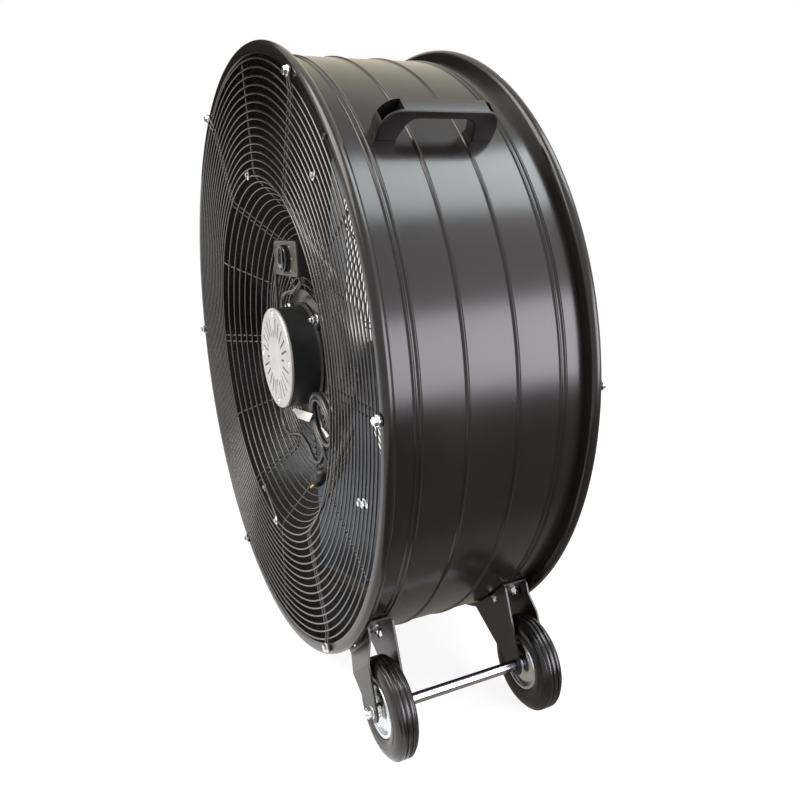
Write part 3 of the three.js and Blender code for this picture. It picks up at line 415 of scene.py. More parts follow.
# ------------------------------------------------------------------ materials
def node(tree, kind, links=None, **values):
    """A shader or geometry node with named settings; links maps a socket to its source."""
    made = tree.nodes.new(kind)
    for key, value in values.items():
        setattr(made, key, value)
    for key, value in (links or {}).items():
        if isinstance(value, bpy.types.NodeSocket):
            tree.links.new(value, made.inputs[key])
        else:
            made.inputs[key].default_value = value
    return made


def tones(tree, factor, low, high, dark, light):
    """A colour ramp between two colours."""
    ramp = node(tree, "ShaderNodeValToRGB", {"Fac": factor})
    ramp.color_ramp.elements[0].position = low
    ramp.color_ramp.elements[1].position = high
    ramp.color_ramp.elements[0].color = (*dark, 1)
    ramp.color_ramp.elements[1].color = (*light, 1)
    return ramp.outputs["Color"]


def spread(tree, factor, low, high):
    """A number from low to high as the factor goes from 0.3 to 0.7."""
    return node(tree, "ShaderNodeMapRange", {"Value": factor, "From Min": 0.3, "From Max": 0.7,
                                             "To Min": low, "To Max": high}).outputs["Result"]


def noise(tree, place, scale, detail, stretch=None):
    """A noise from 0 to 1, drawn out along an axis by the stretch."""
    if stretch is not None:
        place = node(tree, "ShaderNodeMapping", {"Vector": place, "Scale": stretch}).outputs[0]
    return node(tree, "ShaderNodeTexNoise", {"Vector": place, "Scale": scale,
                                             "Detail": detail}).outputs["Fac"]


GRAIN_DEPTH = 0.0004  # metres, as are the marks below
TURNING_DEPTH = 0.0002


def surface(name, dark, light, roughness, metallic, grain, relief, patch=9.0, stretch=None,
            specular=0.5):
    """A finish with slow tone changes, a fine grain and a varied gloss."""
    material = bpy.data.materials.new(name)
    material.use_nodes = True
    tree = material.node_tree
    shader = tree.nodes["Principled BSDF"]
    place = node(tree, "ShaderNodeTexCoord").outputs["Object"]
    slow = noise(tree, place, patch, 4.0, stretch)
    fine = noise(tree, place, grain, 2.0, stretch)
    tree.links.new(tones(tree, slow, 0.3, 0.7, dark, light), shader.inputs["Base Color"])
    tree.links.new(spread(tree, slow, *roughness), shader.inputs["Roughness"])
    bump = node(tree, "ShaderNodeBump", {"Height": fine, "Strength": relief,
                                         "Distance": GRAIN_DEPTH})
    tree.links.new(bump.outputs["Normal"], shader.inputs["Normal"])
    shader.inputs["Metallic"].default_value = metallic
    shader.inputs["Specular IOR Level"].default_value = specular
    return material


def turned_metal(name, dark, light, roughness, lines):
    """Metal with fine lathe marks round the drum's axis."""
    material = surface(name, dark, light, roughness, 1.0, 600, 0.1, patch=30)
    tree = material.node_tree
    place = node(tree, "ShaderNodeTexCoord").outputs["Object"]
    centred = node(tree, "ShaderNodeMapping", {"Vector": place,
                                               "Location": (0, 0, -AXIS_HEIGHT)}).outputs[0]
    marks = node(tree, "ShaderNodeTexWave", {"Vector": centred, "Scale": lines,
                                             "Distortion": 1.5, "Detail": 2.0},
                 wave_type="RINGS", rings_direction="Y")
    bump = next(n for n in tree.nodes if n.type == "BUMP")
    second = node(tree, "ShaderNodeBump", {"Height": marks.outputs["Fac"], "Strength": 0.12,
                                           "Distance": TURNING_DEPTH,
                                           "Normal": bump.outputs["Normal"]})
    tree.links.new(second.outputs["Normal"], tree.nodes["Principled BSDF"].inputs["Normal"])
    return material


powder_coat = surface("satin_powder_coat", (0.0085, 0.0070, 0.0064), (0.013, 0.0110, 0.0102),
                      (0.19, 0.235), 0.0, 1500, 0.05, patch=5, specular=0.42)
fork_coat = surface("fork_powder_coat", (0.017, 0.0145, 0.0125), (0.028, 0.0235, 0.020),
                    (0.26, 0.34), 0.0, 1600, 0.12, patch=16, specular=0.45)
wire_coat = surface("coated_wire", (0.020, 0.017, 0.014), (0.036, 0.031, 0.026), (0.20, 0.28),
                    0.0, 1100, 0.2, patch=24, specular=1.0)
motor_coat = surface("motor_enamel", (0.010, 0.011, 0.012), (0.02, 0.021, 0.022), (0.32, 0.44),
                     0.0, 900, 0.2, patch=18)
cast_metal = surface("bare_casting", (0.50, 0.49, 0.475), (0.64, 0.63, 0.61), (0.42, 0.6), 0.85,
                     1300, 0.5, patch=28)
turned_steel = turned_metal("turned_steel", (0.52, 0.53, 0.55), (0.66, 0.67, 0.68),
                            (0.22, 0.34), 380)
zinc = surface("bright_zinc", (0.68, 0.73, 0.78), (0.90, 0.89, 0.86), (0.21, 0.33), 1.0,
               900, 0.12, patch=55)
tube_steel = surface("drawn_tube", (0.40, 0.40, 0.45), (0.56, 0.56, 0.61), (0.14, 0.24), 1.0,
                     700, 0.08, patch=30, stretch=(1, 0.08, 1))
# blade sheet: grey-blue metal, made darker than bare sheet metal as painted shade for the inside of
# the drum
blade_metal = surface("blade_sheet_painted_shade", (0.10, 0.115, 0.14), (0.17, 0.19, 0.22),
                      (0.3, 0.5), 1.0, 500, 0.2, patch=14, stretch=(1, 3, 1))
rubber = surface("ribbed_rubber", (0.007, 0.006, 0.006), (0.015, 0.013, 0.012), (0.14, 0.28),
                 0.0, 700, 0.4, patch=46, specular=0.5)
plastic = surface("grained_plastic", (0.007, 0.0062, 0.0062), (0.013, 0.0118, 0.0115),
                  (0.34, 0.43), 0.0, 2200, 0.3, patch=20, specular=0.45)
box_plastic = surface("box_plastic", (0.060, 0.055, 0.050), (0.085, 0.078, 0.070),
                      (0.42, 0.55), 0.0, 1700, 0.35, patch=26)
gloss_plastic = surface("gloss_plastic", (0.008, 0.008, 0.009), (0.014, 0.014, 0.015),
                        (0.10, 0.18), 0.0, 500, 0.05, patch=30)
jacket = surface("cable_jacket", (0.018, 0.018, 0.018), (0.034, 0.033, 0.032), (0.24, 0.34),
                 0.0, 800, 0.2, patch=60, specular=0.7)
pale_jacket = surface("lead_sleeve", (0.10, 0.095, 0.088), (0.17, 0.16, 0.15), (0.4, 0.55),
                      0.0, 900, 0.3, patch=60)
copper = surface("lacquered_copper", (0.40, 0.17, 0.08), (0.56, 0.27, 0.14), (0.3, 0.42), 1.0,
                 240, 0.6, patch=60, stretch=(1, 0.1, 1))
brass = surface("pin_brass", (0.60, 0.47, 0.20), (0.76, 0.62, 0.30), (0.2, 0.3), 1.0, 900,
                0.08, patch=80)
paper = surface("blank_tag", (0.74, 0.73, 0.71), (0.84, 0.83, 0.81), (0.55, 0.65), 0.0, 800,
                0.2, patch=90)
tie_plastic = surface("tie_strap", (0.05, 0.05, 0.052), (0.08, 0.08, 0.08), (0.35, 0.45),
                      0.0, 900, 0.2, patch=80)

# the pieces inside the motor and the switch box keep their solids
for hidden, finish in (("stator", copper), ("run_capacitor", cast_metal),
                       ("rotary_switch", plastic), ("rotor", turned_steel),
                       ("motor_bearing_rear", turned_steel),
                       ("motor_bearing_front", turned_steel)):
    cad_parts[hidden].data.materials.clear()
    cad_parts[hidden].data.materials.append(finish)


# ------------------------------------------------------------------ geometry node trees
def new_tree(name, sockets):
    """A geometry tree with named inputs, its input and output nodes."""
    tree = bpy.data.node_groups.new(name, "GeometryNodeTree")
    tree.interface.new_socket("Geometry", in_out="INPUT", socket_type="NodeSocketGeometry")
    for label, kind, value in sockets:
        socket = tree.interface.new_socket(label, in_out="INPUT", socket_type=kind)
        if value is not None:
            socket.default_value = value
    tree.interface.new_socket("Geometry", in_out="OUTPUT", socket_type="NodeSocketGeometry")
    return tree, tree.nodes.new("NodeGroupInput"), tree.nodes.new("NodeGroupOutput")


def ending(tree, geometry, material, out):
    """Every tree ends in plain geometry with its material set."""
    real = node(tree, "GeometryNodeRealizeInstances", {"Geometry": geometry})
    painted = node(tree, "GeometryNodeSetMaterial", {"Geometry": real.outputs[0],
                                                     "Material": material})
    tree.links.new(painted.outputs[0], out.inputs[0])


def math_node(tree, operation, *values):
    """The result of one operation on numbers or sockets."""
    return node(tree, "ShaderNodeMath", dict(enumerate(values)), operation=operation).outputs[0]


def ring_row_tree():
    """Wire rings round the drum's axis, evenly spaced from a first to a last one."""
    tree, start, out = new_tree("ring_row", [
        ("Rings", "NodeSocketInt", 15), ("First Radius", "NodeSocketFloat", 0.48),
        ("Last Radius", "NodeSocketFloat", 0.31), ("First Plane", "NodeSocketFloat", 0.0),
        ("Last Plane", "NodeSocketFloat", 0.0), ("Wire Radius", "NodeSocketFloat", 0.0015),
        ("Axis Height", "NodeSocketFloat", 0.5), ("Segments", "NodeSocketInt", 128),
        ("Material", "NodeSocketMaterial", None)])
    given = start.outputs
    index = node(tree, "GeometryNodeInputIndex").outputs[0]
    steps = math_node(tree, "SUBTRACT", given["Rings"], 1.0)
    share = math_node(tree, "DIVIDE", index, math_node(tree, "MAXIMUM", steps, 1.0))
    span = math_node(tree, "SUBTRACT", given["Last Radius"], given["First Radius"])
    radius = math_node(tree, "MULTIPLY_ADD", share, span, given["First Radius"])
    rise = math_node(tree, "SUBTRACT", given["Last Plane"], given["First Plane"])
    plane = math_node(tree, "MULTIPLY_ADD", share, rise, given["First Plane"])
    spot = node(tree, "ShaderNodeCombineXYZ", {"Y": plane, "Z": given["Axis Height"]}).outputs[0]
    size = node(tree, "ShaderNodeCombineXYZ", {"X": radius, "Y": radius, "Z": radius}).outputs[0]
    points = node(tree, "GeometryNodePoints", {"Count": given["Rings"], "Position": spot})
    circle = node(tree, "GeometryNodeCurvePrimitiveCircle",
                  {"Resolution": given["Segments"], "Radius": 1.0})
    placed = node(tree, "GeometryNodeInstanceOnPoints", {
        "Points": points.outputs[0], "Instance": circle.outputs[0],
        "Rotation": (math.pi / 2, 0, 0), "Scale": size})
    lines = node(tree, "GeometryNodeRealizeInstances", {"Geometry": placed.outputs[0]})
    section = node(tree, "GeometryNodeCurvePrimitiveCircle",
                   {"Resolution": 8, "Radius": given["Wire Radius"]})
    wire = node(tree, "GeometryNodeCurveToMesh", {"Curve": lines.outputs[0],
                                                  "Profile Curve": section.outputs[0]})
    ending(tree, wire.outputs[0], given["Material"], out)
    return tree


def round_axis_tree():
    """Copies of a piece turned round the drum's axis at even steps."""
    tree, start, out = new_tree("round_axis", [
        ("Piece", "NodeSocketObject", None), ("Copies", "NodeSocketInt", 6),
        ("First Turn", "NodeSocketFloat", 0.0), ("Axis Height", "NodeSocketFloat", 0.5),
        ("Material", "NodeSocketMaterial", None)])
    given = start.outputs
    index = node(tree, "GeometryNodeInputIndex").outputs[0]
    step = math_node(tree, "DIVIDE", -2 * math.pi, given["Copies"])
    turn = math_node(tree, "MULTIPLY_ADD", index, step,
                     math_node(tree, "MULTIPLY", given["First Turn"], -math.pi / 180))
    spot = node(tree, "ShaderNodeCombineXYZ", {"Z": given["Axis Height"]}).outputs[0]
    turned = node(tree, "ShaderNodeCombineXYZ", {"Y": turn}).outputs[0]
    points = node(tree, "GeometryNodePoints", {"Count": given["Copies"], "Position": spot})
    source = node(tree, "GeometryNodeObjectInfo", {"Object": given["Piece"]})
    placed = node(tree, "GeometryNodeInstanceOnPoints", {
        "Points": points.outputs[0], "Instance": source.outputs["Geometry"],
        "Rotation": turned})
    ending(tree, placed.outputs[0], given["Material"], out)
    return tree


def at_marks_tree():
    """A copy of a piece at each mark, turned about Y by the mark's own angle."""
    tree, start, out = new_tree("at_marks", [
        ("Piece", "NodeSocketObject", None), ("Material", "NodeSocketMaterial", None)])
    given = start.outputs
    angle = node(tree, "GeometryNodeInputNamedAttribute", {"Name": "turn"},
                 data_type="FLOAT").outputs[0]
    turned = node(tree, "ShaderNodeCombineXYZ", {"Y": angle}).outputs[0]
    source = node(tree, "GeometryNodeObjectInfo", {"Object": given["Piece"]})
    placed = node(tree, "GeometryNodeInstanceOnPoints", {
        "Points": given["Geometry"], "Instance": source.outputs["Geometry"],
        "Rotation": turned})
    ending(tree, placed.outputs[0], given["Material"], out)
    return tree


RING_ROW = ring_row_tree()
ROUND_AXIS = round_axis_tree()
AT_MARKS = at_marks_tree()


def grown(tree, inputs, marks=None):
    """The plain mesh that a tree makes from these inputs."""
    mesh = bpy.data.meshes.new("seed")
    if marks:
        mesh.from_pydata([place for place, _ in marks], [], [])
        turns = mesh.attributes.new("turn", "FLOAT", "POINT")
        for entry, (_, angle) in zip(turns.data, marks):
            entry.value = angle
    holder = linked("seed", mesh)
    modifier = holder.modifiers.new("grow", "NODES")
    modifier.node_group = tree
    for item in tree.interface.items_tree:
        if item.in_out == "INPUT" and item.name in inputs:
            modifier[item.identifier] = inputs[item.name]
    return evaluated_mesh(holder)


def as_bmesh(mesh):
    """A finished mesh in metres, back in millimetres for more work."""
    bm = bmesh_of(mesh)
    bm.transform(in_metres().inverted())
    return bm


def ring_row(rings, first, last, material, segments=144):
    """first and last are [radius, y] of the outer and inner ring."""
    return as_bmesh(grown(RING_ROW, {
        "Rings": rings, "First Radius": first[0] * MM, "Last Radius": last[0] * MM,
        "First Plane": first[1] * MM, "Last Plane": last[1] * MM,
        "Wire Radius": RING_WIRE / 2 * MM,
        "Axis Height": AXIS_HEIGHT, "Segments": segments, "Material": material}))


def repeated(tree, template, inputs, marks=None):
    """Copies of a bmesh in millimetres, placed by a tree."""
    template.transform(Matrix.Scale(MM, 4))
    source = object_of(template, "template")
    mesh = grown(tree, {"Piece": source, **inputs}, marks)
    bpy.data.objects.remove(source)
    return as_bmesh(mesh)


def round_axis(template, copies, first_turn, material):
    """template is drawn at angle 0."""
    return repeated(ROUND_AXIS, template, {"Copies": copies, "First Turn": first_turn,
                                           "Axis Height": AXIS_HEIGHT, "Material": material})


def at_marks(template, marks, material):
    """marks are [(x, y, z), angle in radians], millimetres from the middle of the drum."""
    places = [((in_metres() @ Vector(place))[:], angle) for place, angle in marks]
    return repeated(AT_MARKS, template, {"Material": material}, places)


# ------------------------------------------------------------------ shared hardware
WASHER = 1.4


def hex_prism(across, low, high, chamfer):
    """A hexagon head along Y with its outer edge (at low) turned off."""
    corner = across / math.sqrt(3)
    hexagon = [(corner * math.cos(math.radians(60 * i)), corner * math.sin(math.radians(60 * i)))
               for i in range(6)]
    head = prism(hexagon, low, high)
    cone = lathe([(0, low), (across / 2 * 0.97, low), (corner + 0.2, low + chamfer),
                  (corner + 0.2, high), (0, high)], 36, closed=False)
    return combined("INTERSECT", head, [cone])


def bolt_head(across, height, washer_radius):
    """Hexagon head and washer seated at y = 0, head towards -Y."""
    bm = lathe([(0, 0), (washer_radius, 0), (washer_radius, -WASHER * 0.7),
                (washer_radius - 0.4, -WASHER), (0, -WASHER)], 28, closed=False)
    return add_to(bm, hex_prism(across, -WASHER - height, -WASHER, 0.9))


def stud_and_nut(across, height, washer_radius, stud_radius, stud_length):
    """A nut on a stud end that stands proud of it, towards -Y."""
    bm = bolt_head(across, height, washer_radius)
    tip = -WASHER - height - stud_length
    return add_to(bm, lathe([(0, tip), (stud_radius - 0.6, tip), (stud_radius, tip + 0.8),
                             (stud_radius, 0), (0, 0)], 20, closed=False))


def pan_screw(radius, height):
    """A cross-slotted pan head seated at y = 0, towards -Y."""
    dome = [(0, 0), (radius, 0)] + [
        (radius * math.cos(math.radians(a)), -height * math.sin(math.radians(a)))
        for a in range(20, 81, 12)] + [(0, -height)]
    head = lathe(dome, 24, closed=False)
    slots = []
    for length, width in ((radius * 1.2, radius * 0.24), (radius * 0.24, radius * 1.2)):
        slots.append(prism([(-length / 2, -width / 2), (length / 2, -width / 2),
                            (length / 2, width / 2), (-length / 2, width / 2)],
                           -height - 1, -height * 0.45))
    return cut(head, *slots)


def ridden(piece, body, slot, *nodes):
    """Puts a piece on its body and hides the nodes it stands for; the slot is not used."""
    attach(piece, body)
    if nodes:
        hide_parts(*nodes)
    return piece


def numbered(name, count):
    """The names of a set of nodes, from 1."""
    return [f"{name}_{i + 1}" for i in range(count)]


# ------------------------------------------------------------------ cords
def box_point(x, y, z):
    """From the switch box's own frame to the drum's."""
    turn = math.radians(GUARD_TURN)
    return (BOX_X + x * math.cos(turn) - z * math.sin(turn), y,
            BOX_Z + x * math.sin(turn) + z * math.cos(turn))


def coil_point(turns):
    """The cord's bundle after this many turns: in to its middle, up a layer and out again."""
    half = COIL_TURNS / 2
    reach = COIL_INNER + COIL_PITCH * abs(half - turns)
    t = min(max((turns - half + 0.25) / 0.5, 0), 1)
    climb = t * t * (3 - 2 * t)
    turn = math.radians(COIL_START + 360 * turns)
    a = (COIL_STRETCH + reach) * math.cos(turn)
    b = reach * math.sin(turn)
    lean = math.radians(COIL_TURN)
    return (COIL_X + a * math.cos(lean) - b * math.sin(lean), -COIL_PLANE - COIL_PITCH * climb,
            COIL_Z + a * math.sin(lean) + b * math.cos(lean))


def coil_path():
    last = COIL_TURNS + (COIL_END - COIL_START) / 360
    count = round(last * COIL_STEPS)
    return [coil_point(last * i / count) for i in range(count + 1)]


def straight_on(before, end, distance):
    """The point this far past the end of a line."""
    before, end = Vector(before), Vector(end)
    return tuple(end + (end - before).normalized() * distance)


def smooth_path(points, steps):
    """A centripetal curve through the points."""
    p = [Vector(q) for q in points]
    p = [2 * p[0] - p[1]] + p + [2 * p[-1] - p[-2]]
    out = []
    for i in range(1, len(p) - 2):
        knots = [0.0]
        for a, b in zip(p[i - 1:i + 2], p[i:i + 3]):
            knots.append(knots[-1] + max((b - a).length, 1e-6) ** 0.5)
        for k in range(steps):
            t = knots[1] + (knots[2] - knots[1]) * k / steps
            level = p[i - 1:i + 3]
            for depth in (1, 2, 3):
                mixed = []
                for j in range(4 - depth):
                    if depth == 3:
                        low, high = knots[1], knots[2]
                    elif depth == 2:
                        low, high = knots[j], knots[j + 2]
                    else:
                        low, high = knots[j], knots[j + 1]
                    mixed.append(((high - t) * level[j] + (t - low) * level[j + 1])
                                 / (high - low))
                level = mixed
            out.append(level[0])
    return out + [p[-2]]


def cord_curve(name, points, diameter, material):
    """One open spline with a round section, in metres."""
    curve = bpy.data.curves.new(name, "CURVE")
    curve.dimensions = "3D"
    curve.bevel_depth = diameter / 2 * MM
    curve.bevel_resolution = 4
    curve.use_fill_caps = True
    spline = curve.splines.new("POLY")
    spline.points.add(len(points) - 1)
    for point, p in zip(spline.points, points):
        point.co = (*(in_metres() @ Vector(p)), 1)
    curve.materials.append(material)
    return linked(name, curve)


def make_cords():
    """The supply cord from its gland round the motor, through the bundle and to the plug."""
    coil = coil_path()
    coil_start = straight_on(coil[1], coil[0], CORD_DIAMETER)
    mouth = -BOX_WIDTH / 2 - 0.3
    entry = box_point(mouth - GLAND_LENGTH - 0.3, GLAND_Y, 0)
    clear_of_gland = box_point(mouth - GLAND_LENGTH - 8, GLAND_Y, 0)
    route = [entry, clear_of_gland, (-106, -97, 152), (-122, -95, 118), (-127, -93, 60),
             (-129, -92, 0), (-130, -92, -60), (-131, -94, -112), (-124, -97, -150),
             (-104, -98, -168), (-76, -98, -171), (-40, -98, -160), (-6, -97, -152),
             (22, -97, -158), (45, -97, -171), (70, -97, -178), (93, -97, -168),
             (112, -98, -146), straight_on(coil[0], coil_start, 14), coil_start]
    coil_end = straight_on(coil[-2], coil[-1], CORD_DIAMETER)
    into_plug = tuple(PLUG_REAR - PLUG_AXIS * 12)
    rear_of_plug = tuple(PLUG_REAR - PLUG_AXIS * 0.3)
    tail = [coil_end, straight_on(coil[-2], coil[-1], CORD_DIAMETER + 8), (140, -104, -141),
            into_plug, rear_of_plug]
    line = smooth_path(route + coil + tail, 4)
    cord = cord_curve("mains_cord", line, CORD_DIAMETER, jacket)
    plug = make_plug()
    ridden(cord, "drum", "cord_jacket", "supply_cord", "cord_loops", "cord_tail")
    make_gland()
    make_motor_lead()


def make_plug():
    """The round plug with its ribbed neck, and two pins."""
    place = Matrix.Translation(PLUG_REAR) @ Vector((0, 1, 0)).rotation_difference(
        PLUG_AXIS).to_matrix().to_4x4()
    relief = [(0, 0), (5.0, 0)]
    for i in range(5):
        y = 1 + 3 * i
        relief += [(5.6 + 0.25 * i, y), (5.6 + 0.25 * i, y + 1.7), (4.9, y + 2.0), (4.9, y + 2.8)]
    body = [(7.0, 17), (PLUG_RADIUS - 1, 22), (PLUG_RADIUS, 25), (PLUG_RADIUS - 1.5, 33),
            (PLUG_RADIUS - 1.5, 39), (PLUG_RADIUS, 44), (PLUG_RADIUS, PLUG_LENGTH - 2),
            (PLUG_RADIUS - 2, PLUG_LENGTH), (0, PLUG_LENGTH)]
    plug = piece_from("mains_plug", lathe(relief + body, 40, closed=False), plastic, place=place)
    ridden(plug, "drum", "black_plastic", "plug_body")
    pieces = [plug]
    for i, side in enumerate((-1, 1)):
        profile = [(0, 0.3), (2.4, 0.3), (2.4, 17.5), (1.8, 19), (0, 19.3)]
        pin = lathe(profile, 20, closed=False)
        pin.transform(Matrix.Translation((0, PLUG_LENGTH, side * PIN_SPREAD)))
        pin = piece_from(f"mains_plug_pin_{i + 1}", pin, brass, place=place)
        pieces.append(ridden(pin, "drum", "pin_brass", f"plug_pin_{i + 1}"))
    return pieces


def make_gland():
    """The ribbed, tapered strain relief on the switch box."""
    profile = [(0, 0), (9, 0), (9, 6), (8, 7.2)]
    for i in range(4):
        y = 8 + 3.4 * i
        thick = 7.4 - 0.45 * i
        profile += [(thick, y), (thick, y + 1.9), (5.0, y + 2.2), (5.0, y + 3.1)]
    profile += [(5.2, GLAND_LENGTH), (0, GLAND_LENGTH)]
    relief = lathe(profile, 32, closed=False)
    nut = hex_prism(17, -4.6, 0, 0.8)
    nut.transform(Matrix.Translation((0, 5, 0)))
    add_to(relief, nut)
    relief.transform(Matrix.Translation((-BOX_WIDTH / 2 - 0.3, GLAND_Y, 0))
                     @ Matrix.Rotation(math.pi / 2, 4, "Z"))
    ridden(piece_from("strain_relief", relief, plastic, place=box_place()), "drum",
           "black_plastic", "cord_gland")


def make_motor_lead():
    """Three sleeved leads from the switch box to the motor can, laid together."""
    entry_turn = math.radians(126)
    outward = Vector((math.cos(entry_turn), 0, math.sin(entry_turn)))

    def spot(reach):
        return (reach * outward.x, -105, reach * outward.z)

    def under_box(z):
        return box_point(14, GLAND_Y, z)

    route = [under_box(-BOX_HEIGHT / 2 - 0.3), under_box(-BOX_HEIGHT / 2 - 12), (6, -102, 116),
             (-28, -104, 108), (-52, -105, 96), spot(MOTOR_RADIUS + 9), spot(MOTOR_RADIUS + 0.3)]
    middle = smooth_path(route, 10)
    paths = []
    for strand in range(LEAD_STRANDS):
        path = []
        for i, p in enumerate(middle):
            before, after = middle[max(i - 1, 0)], middle[min(i + 1, len(middle) - 1)]
            along = (after - before).normalized()
            side = along.cross(Vector((0, 1, 0))).normalized()
            up = side.cross(along)
            turn = 2 * math.pi * strand / LEAD_STRANDS + i * LEAD_TWIST
            path.append(p + (side * math.cos(turn) + up * math.sin(turn)) * LEAD_SPREAD)
        paths.append(path)
    lead = wires(paths, LEAD_STRAND_RADIUS, 3)
    boot = lathe([(0, 0), (6.5, 0), (6.2, 2.5), (4.6, 5), (0, 5)], 28, closed=False)
    boot.transform(Matrix.Translation(spot(MOTOR_RADIUS + 0.3)) @ Vector((0, 1, 0))
                   .rotation_difference(outward).to_matrix().to_4x4())
    add_to(lead, boot)
    ridden(piece_from("motor_lead_wires", lead, pale_jacket), "drum", "cord_jacket", "motor_lead")


def box_place():
    """The switch box's own frame, with y as the drum's."""
    return Matrix.Translation((BOX_X, 0, BOX_Z)) @ turn_about_axis(GUARD_TURN)


make_cords()


# ------------------------------------------------------------------ drum
def bead(place, half_width, height=BEAD_HEIGHT):
    """A rolled bead of the sheet, [radius, y], with a close point on each side of it."""
    points = [(DRUM_RADIUS, place - half_width - BEAD_SHOULDER)]
    for i in range(13):
        t = i / 12
        rise = height * 0.5 * (1 - math.cos(2 * math.pi * t))
        points.append((DRUM_RADIUS + rise, place - half_width + 2 * half_width * t))
    return points + [(DRUM_RADIUS, place + half_width + BEAD_SHOULDER)]


def rim():
    """The flange and its rolled edge, from the drum's wall round to the inside."""
    face = RIM_FACE - 2 * RIM_CURL
    points = [(DRUM_RADIUS, face), (RIM_RADIUS - RIM_CURL - 0.5, face)]
    points += arc(RIM_RADIUS - RIM_CURL, face + RIM_CURL, RIM_CURL, -90, 90, 26)
    points += arc(DRUM_RADIUS - DRUM_WALL + RIM_LIP, RIM_FACE - RIM_LIP, RIM_LIP, 90, 180, 8)
    return points


def drum_profile():
    """The whole wall's section, from the rear rim to the front one."""
    outer = bead(SINGLE_BEAD_PLACE, BEAD_HALF_WIDTH, SINGLE_BEAD_HEIGHT)
    for side in (-1, 1):
        outer += bead(DOUBLE_BEAD_PLACE + side * TWIN_BEAD_SPREAD, TWIN_BEAD_HALF_WIDTH)
    outer += rim() + [(DRUM_RADIUS - DRUM_WALL, RIM_PLANE - 2)]
    rear = [(r, -y) for r, y in reversed(outer)]
    return rear + outer


drum = piece_from("drum_sheet", lathe(drum_profile(), 256), powder_coat, crease=50)
ridden(drum, "drum", "black_paint", "drum_shell")


# ------------------------------------------------------------------ guards
def offset_line(line, distance):
    """A bent [radius, y] line moved sideways, towards the drum."""
    moved = []
    for i, point in enumerate(line):
        normals = []
        for a, b in ((line[max(i - 1, 0)], point), (point, line[min(i + 1, len(line) - 1)])):
            if a != b:
                reach = math.hypot(b[0] - a[0], b[1] - a[1])
                normals.append(Vector(((b[1] - a[1]) / reach, (a[0] - b[0]) / reach)))
        total = sum(normals, Vector((0, 0)))
        dot = total.dot(normals[0])
        moved.append((point[0] + total.x / dot * distance, point[1] + total.y / dot * distance))
    return moved


def guard_spokes(line):
    """One double spoke, bent round its rim bolt, and one single spoke, at angle 0."""
    rise = (RING_WIRE + SPOKE_WIRE) / 2
    eye_plane = -RIM_FACE - 0.3 - SPOKE_WIRE / 2
    half = SPOKE_PAIR_SPREAD / 2
    under = offset_line(line, rise)
    reach = [(OUTER_RING - 14, under[0][1])] + under[1:]
    leg = [(r, y) for r, y in reversed(reach)] + [(GUARD_BOLT_RADIUS - 8, eye_plane)]
    out_leg = [(r, y, -half) for r, y in leg]
    back_leg = [(r, y, half) for r, y in reversed(leg)]
    bend = [(x, eye_plane, z) for x, z in arc(GUARD_BOLT_RADIUS, 0, half, -90, 90, 12)]
    pair = rounded_path(out_leg, 6, 4) + bend + rounded_path(back_leg, 6, 4)
    single = rounded_path([(r, y, 0) for r, y in under], 12, 4)
    return wires([pair], SPOKE_WIRE / 2), wires([single], SPOKE_WIRE / 2)


def add_spokes(bm, line):
    """Six double and six single spokes along a bent [radius, y] line."""
    pair, single = guard_spokes(line)
    add_to(bm, round_axis(pair, SPOKE_SETS, GUARD_TURN, wire_coat))
    add_to(bm, round_axis(single, SPOKE_SETS, GUARD_TURN + 180 / SPOKE_SETS, wire_coat))


def rear_guard_mesh():
    """The dished guard: flat rings, funnel rings, floor rings, spokes and the motor's ring."""
    line = [(OUTER_RING, -GUARD_FACE), (BEND_RING, BEND_PLANE), (FLOOR_RADIUS, -FLOOR_PLANE),
            (PLATE_EDGE - 8, -FLOOR_PLANE)]
    flat_rings = round((OUTER_RING - BEND_RING) / RING_PITCH) + 1
    bm = ring_row(flat_rings, (OUTER_RING, -GUARD_FACE),
                  (OUTER_RING - (flat_rings - 1) * RING_PITCH, BEND_PLANE), wire_coat)

    def along(share):
        return (BEND_RING + (FLOOR_RADIUS - BEND_RING) * share,
                BEND_PLANE + (-FLOOR_PLANE - BEND_PLANE) * share)

    step = 1 / (FUNNEL_RINGS + 0.5)
    add_to(bm, ring_row(FUNNEL_RINGS, along(step), along(FUNNEL_RINGS * step), wire_coat))
    first = FLOOR_RADIUS - RING_WIRE
    floor_rings = int((first - PLATE_EDGE - 6) / RING_PITCH) + 1
    add_to(bm, ring_row(floor_rings, (first, -FLOOR_PLANE),
                        (first - (floor_rings - 1) * RING_PITCH, -FLOOR_PLANE), wire_coat,
                        segments=96))
    add_spokes(bm, line)
    back = -FLOOR_PLANE - RING_WIRE / 2
    plate = lathe([(MOTOR_RADIUS - 3.6, back), (PLATE_EDGE - 1, back), (PLATE_EDGE, back + 1),
                   (PLATE_EDGE, back + 3), (PLATE_EDGE - 1, back + 4),
                   (MOTOR_RADIUS - 3.6, back + 4)], 96)
    return add_to(bm, plate)


def front_guard_mesh():
    """The flat guard and its pressed disc, drawn at the rear and turned over."""
    line = [(OUTER_RING, -GUARD_FACE), (CENTRE_DISC - 8, -GUARD_FACE)]
    rings = int((OUTER_RING - CENTRE_DISC - 6) / RING_PITCH) + 1
    bm = ring_row(rings, (OUTER_RING, -GUARD_FACE),
                  (OUTER_RING - (rings - 1) * RING_PITCH, -GUARD_FACE), wire_coat)
    add_spokes(bm, line)
    back = -GUARD_FACE - RING_WIRE / 2
    disc = lathe([(0, back - 1), (CENTRE_DISC * 0.55, back - 1), (CENTRE_DISC * 0.6, back),
                  (CENTRE_DISC - 9, back), (CENTRE_DISC - 6, back - 1.4),
                  (CENTRE_DISC - 3, back), (CENTRE_DISC - 1, back), (CENTRE_DISC, back + 1),
                  (CENTRE_DISC, back + 3), (CENTRE_DISC - 1, back + 4), (0, back + 4)], 96,
                 closed=False)
    return mirrored(add_to(bm, disc))


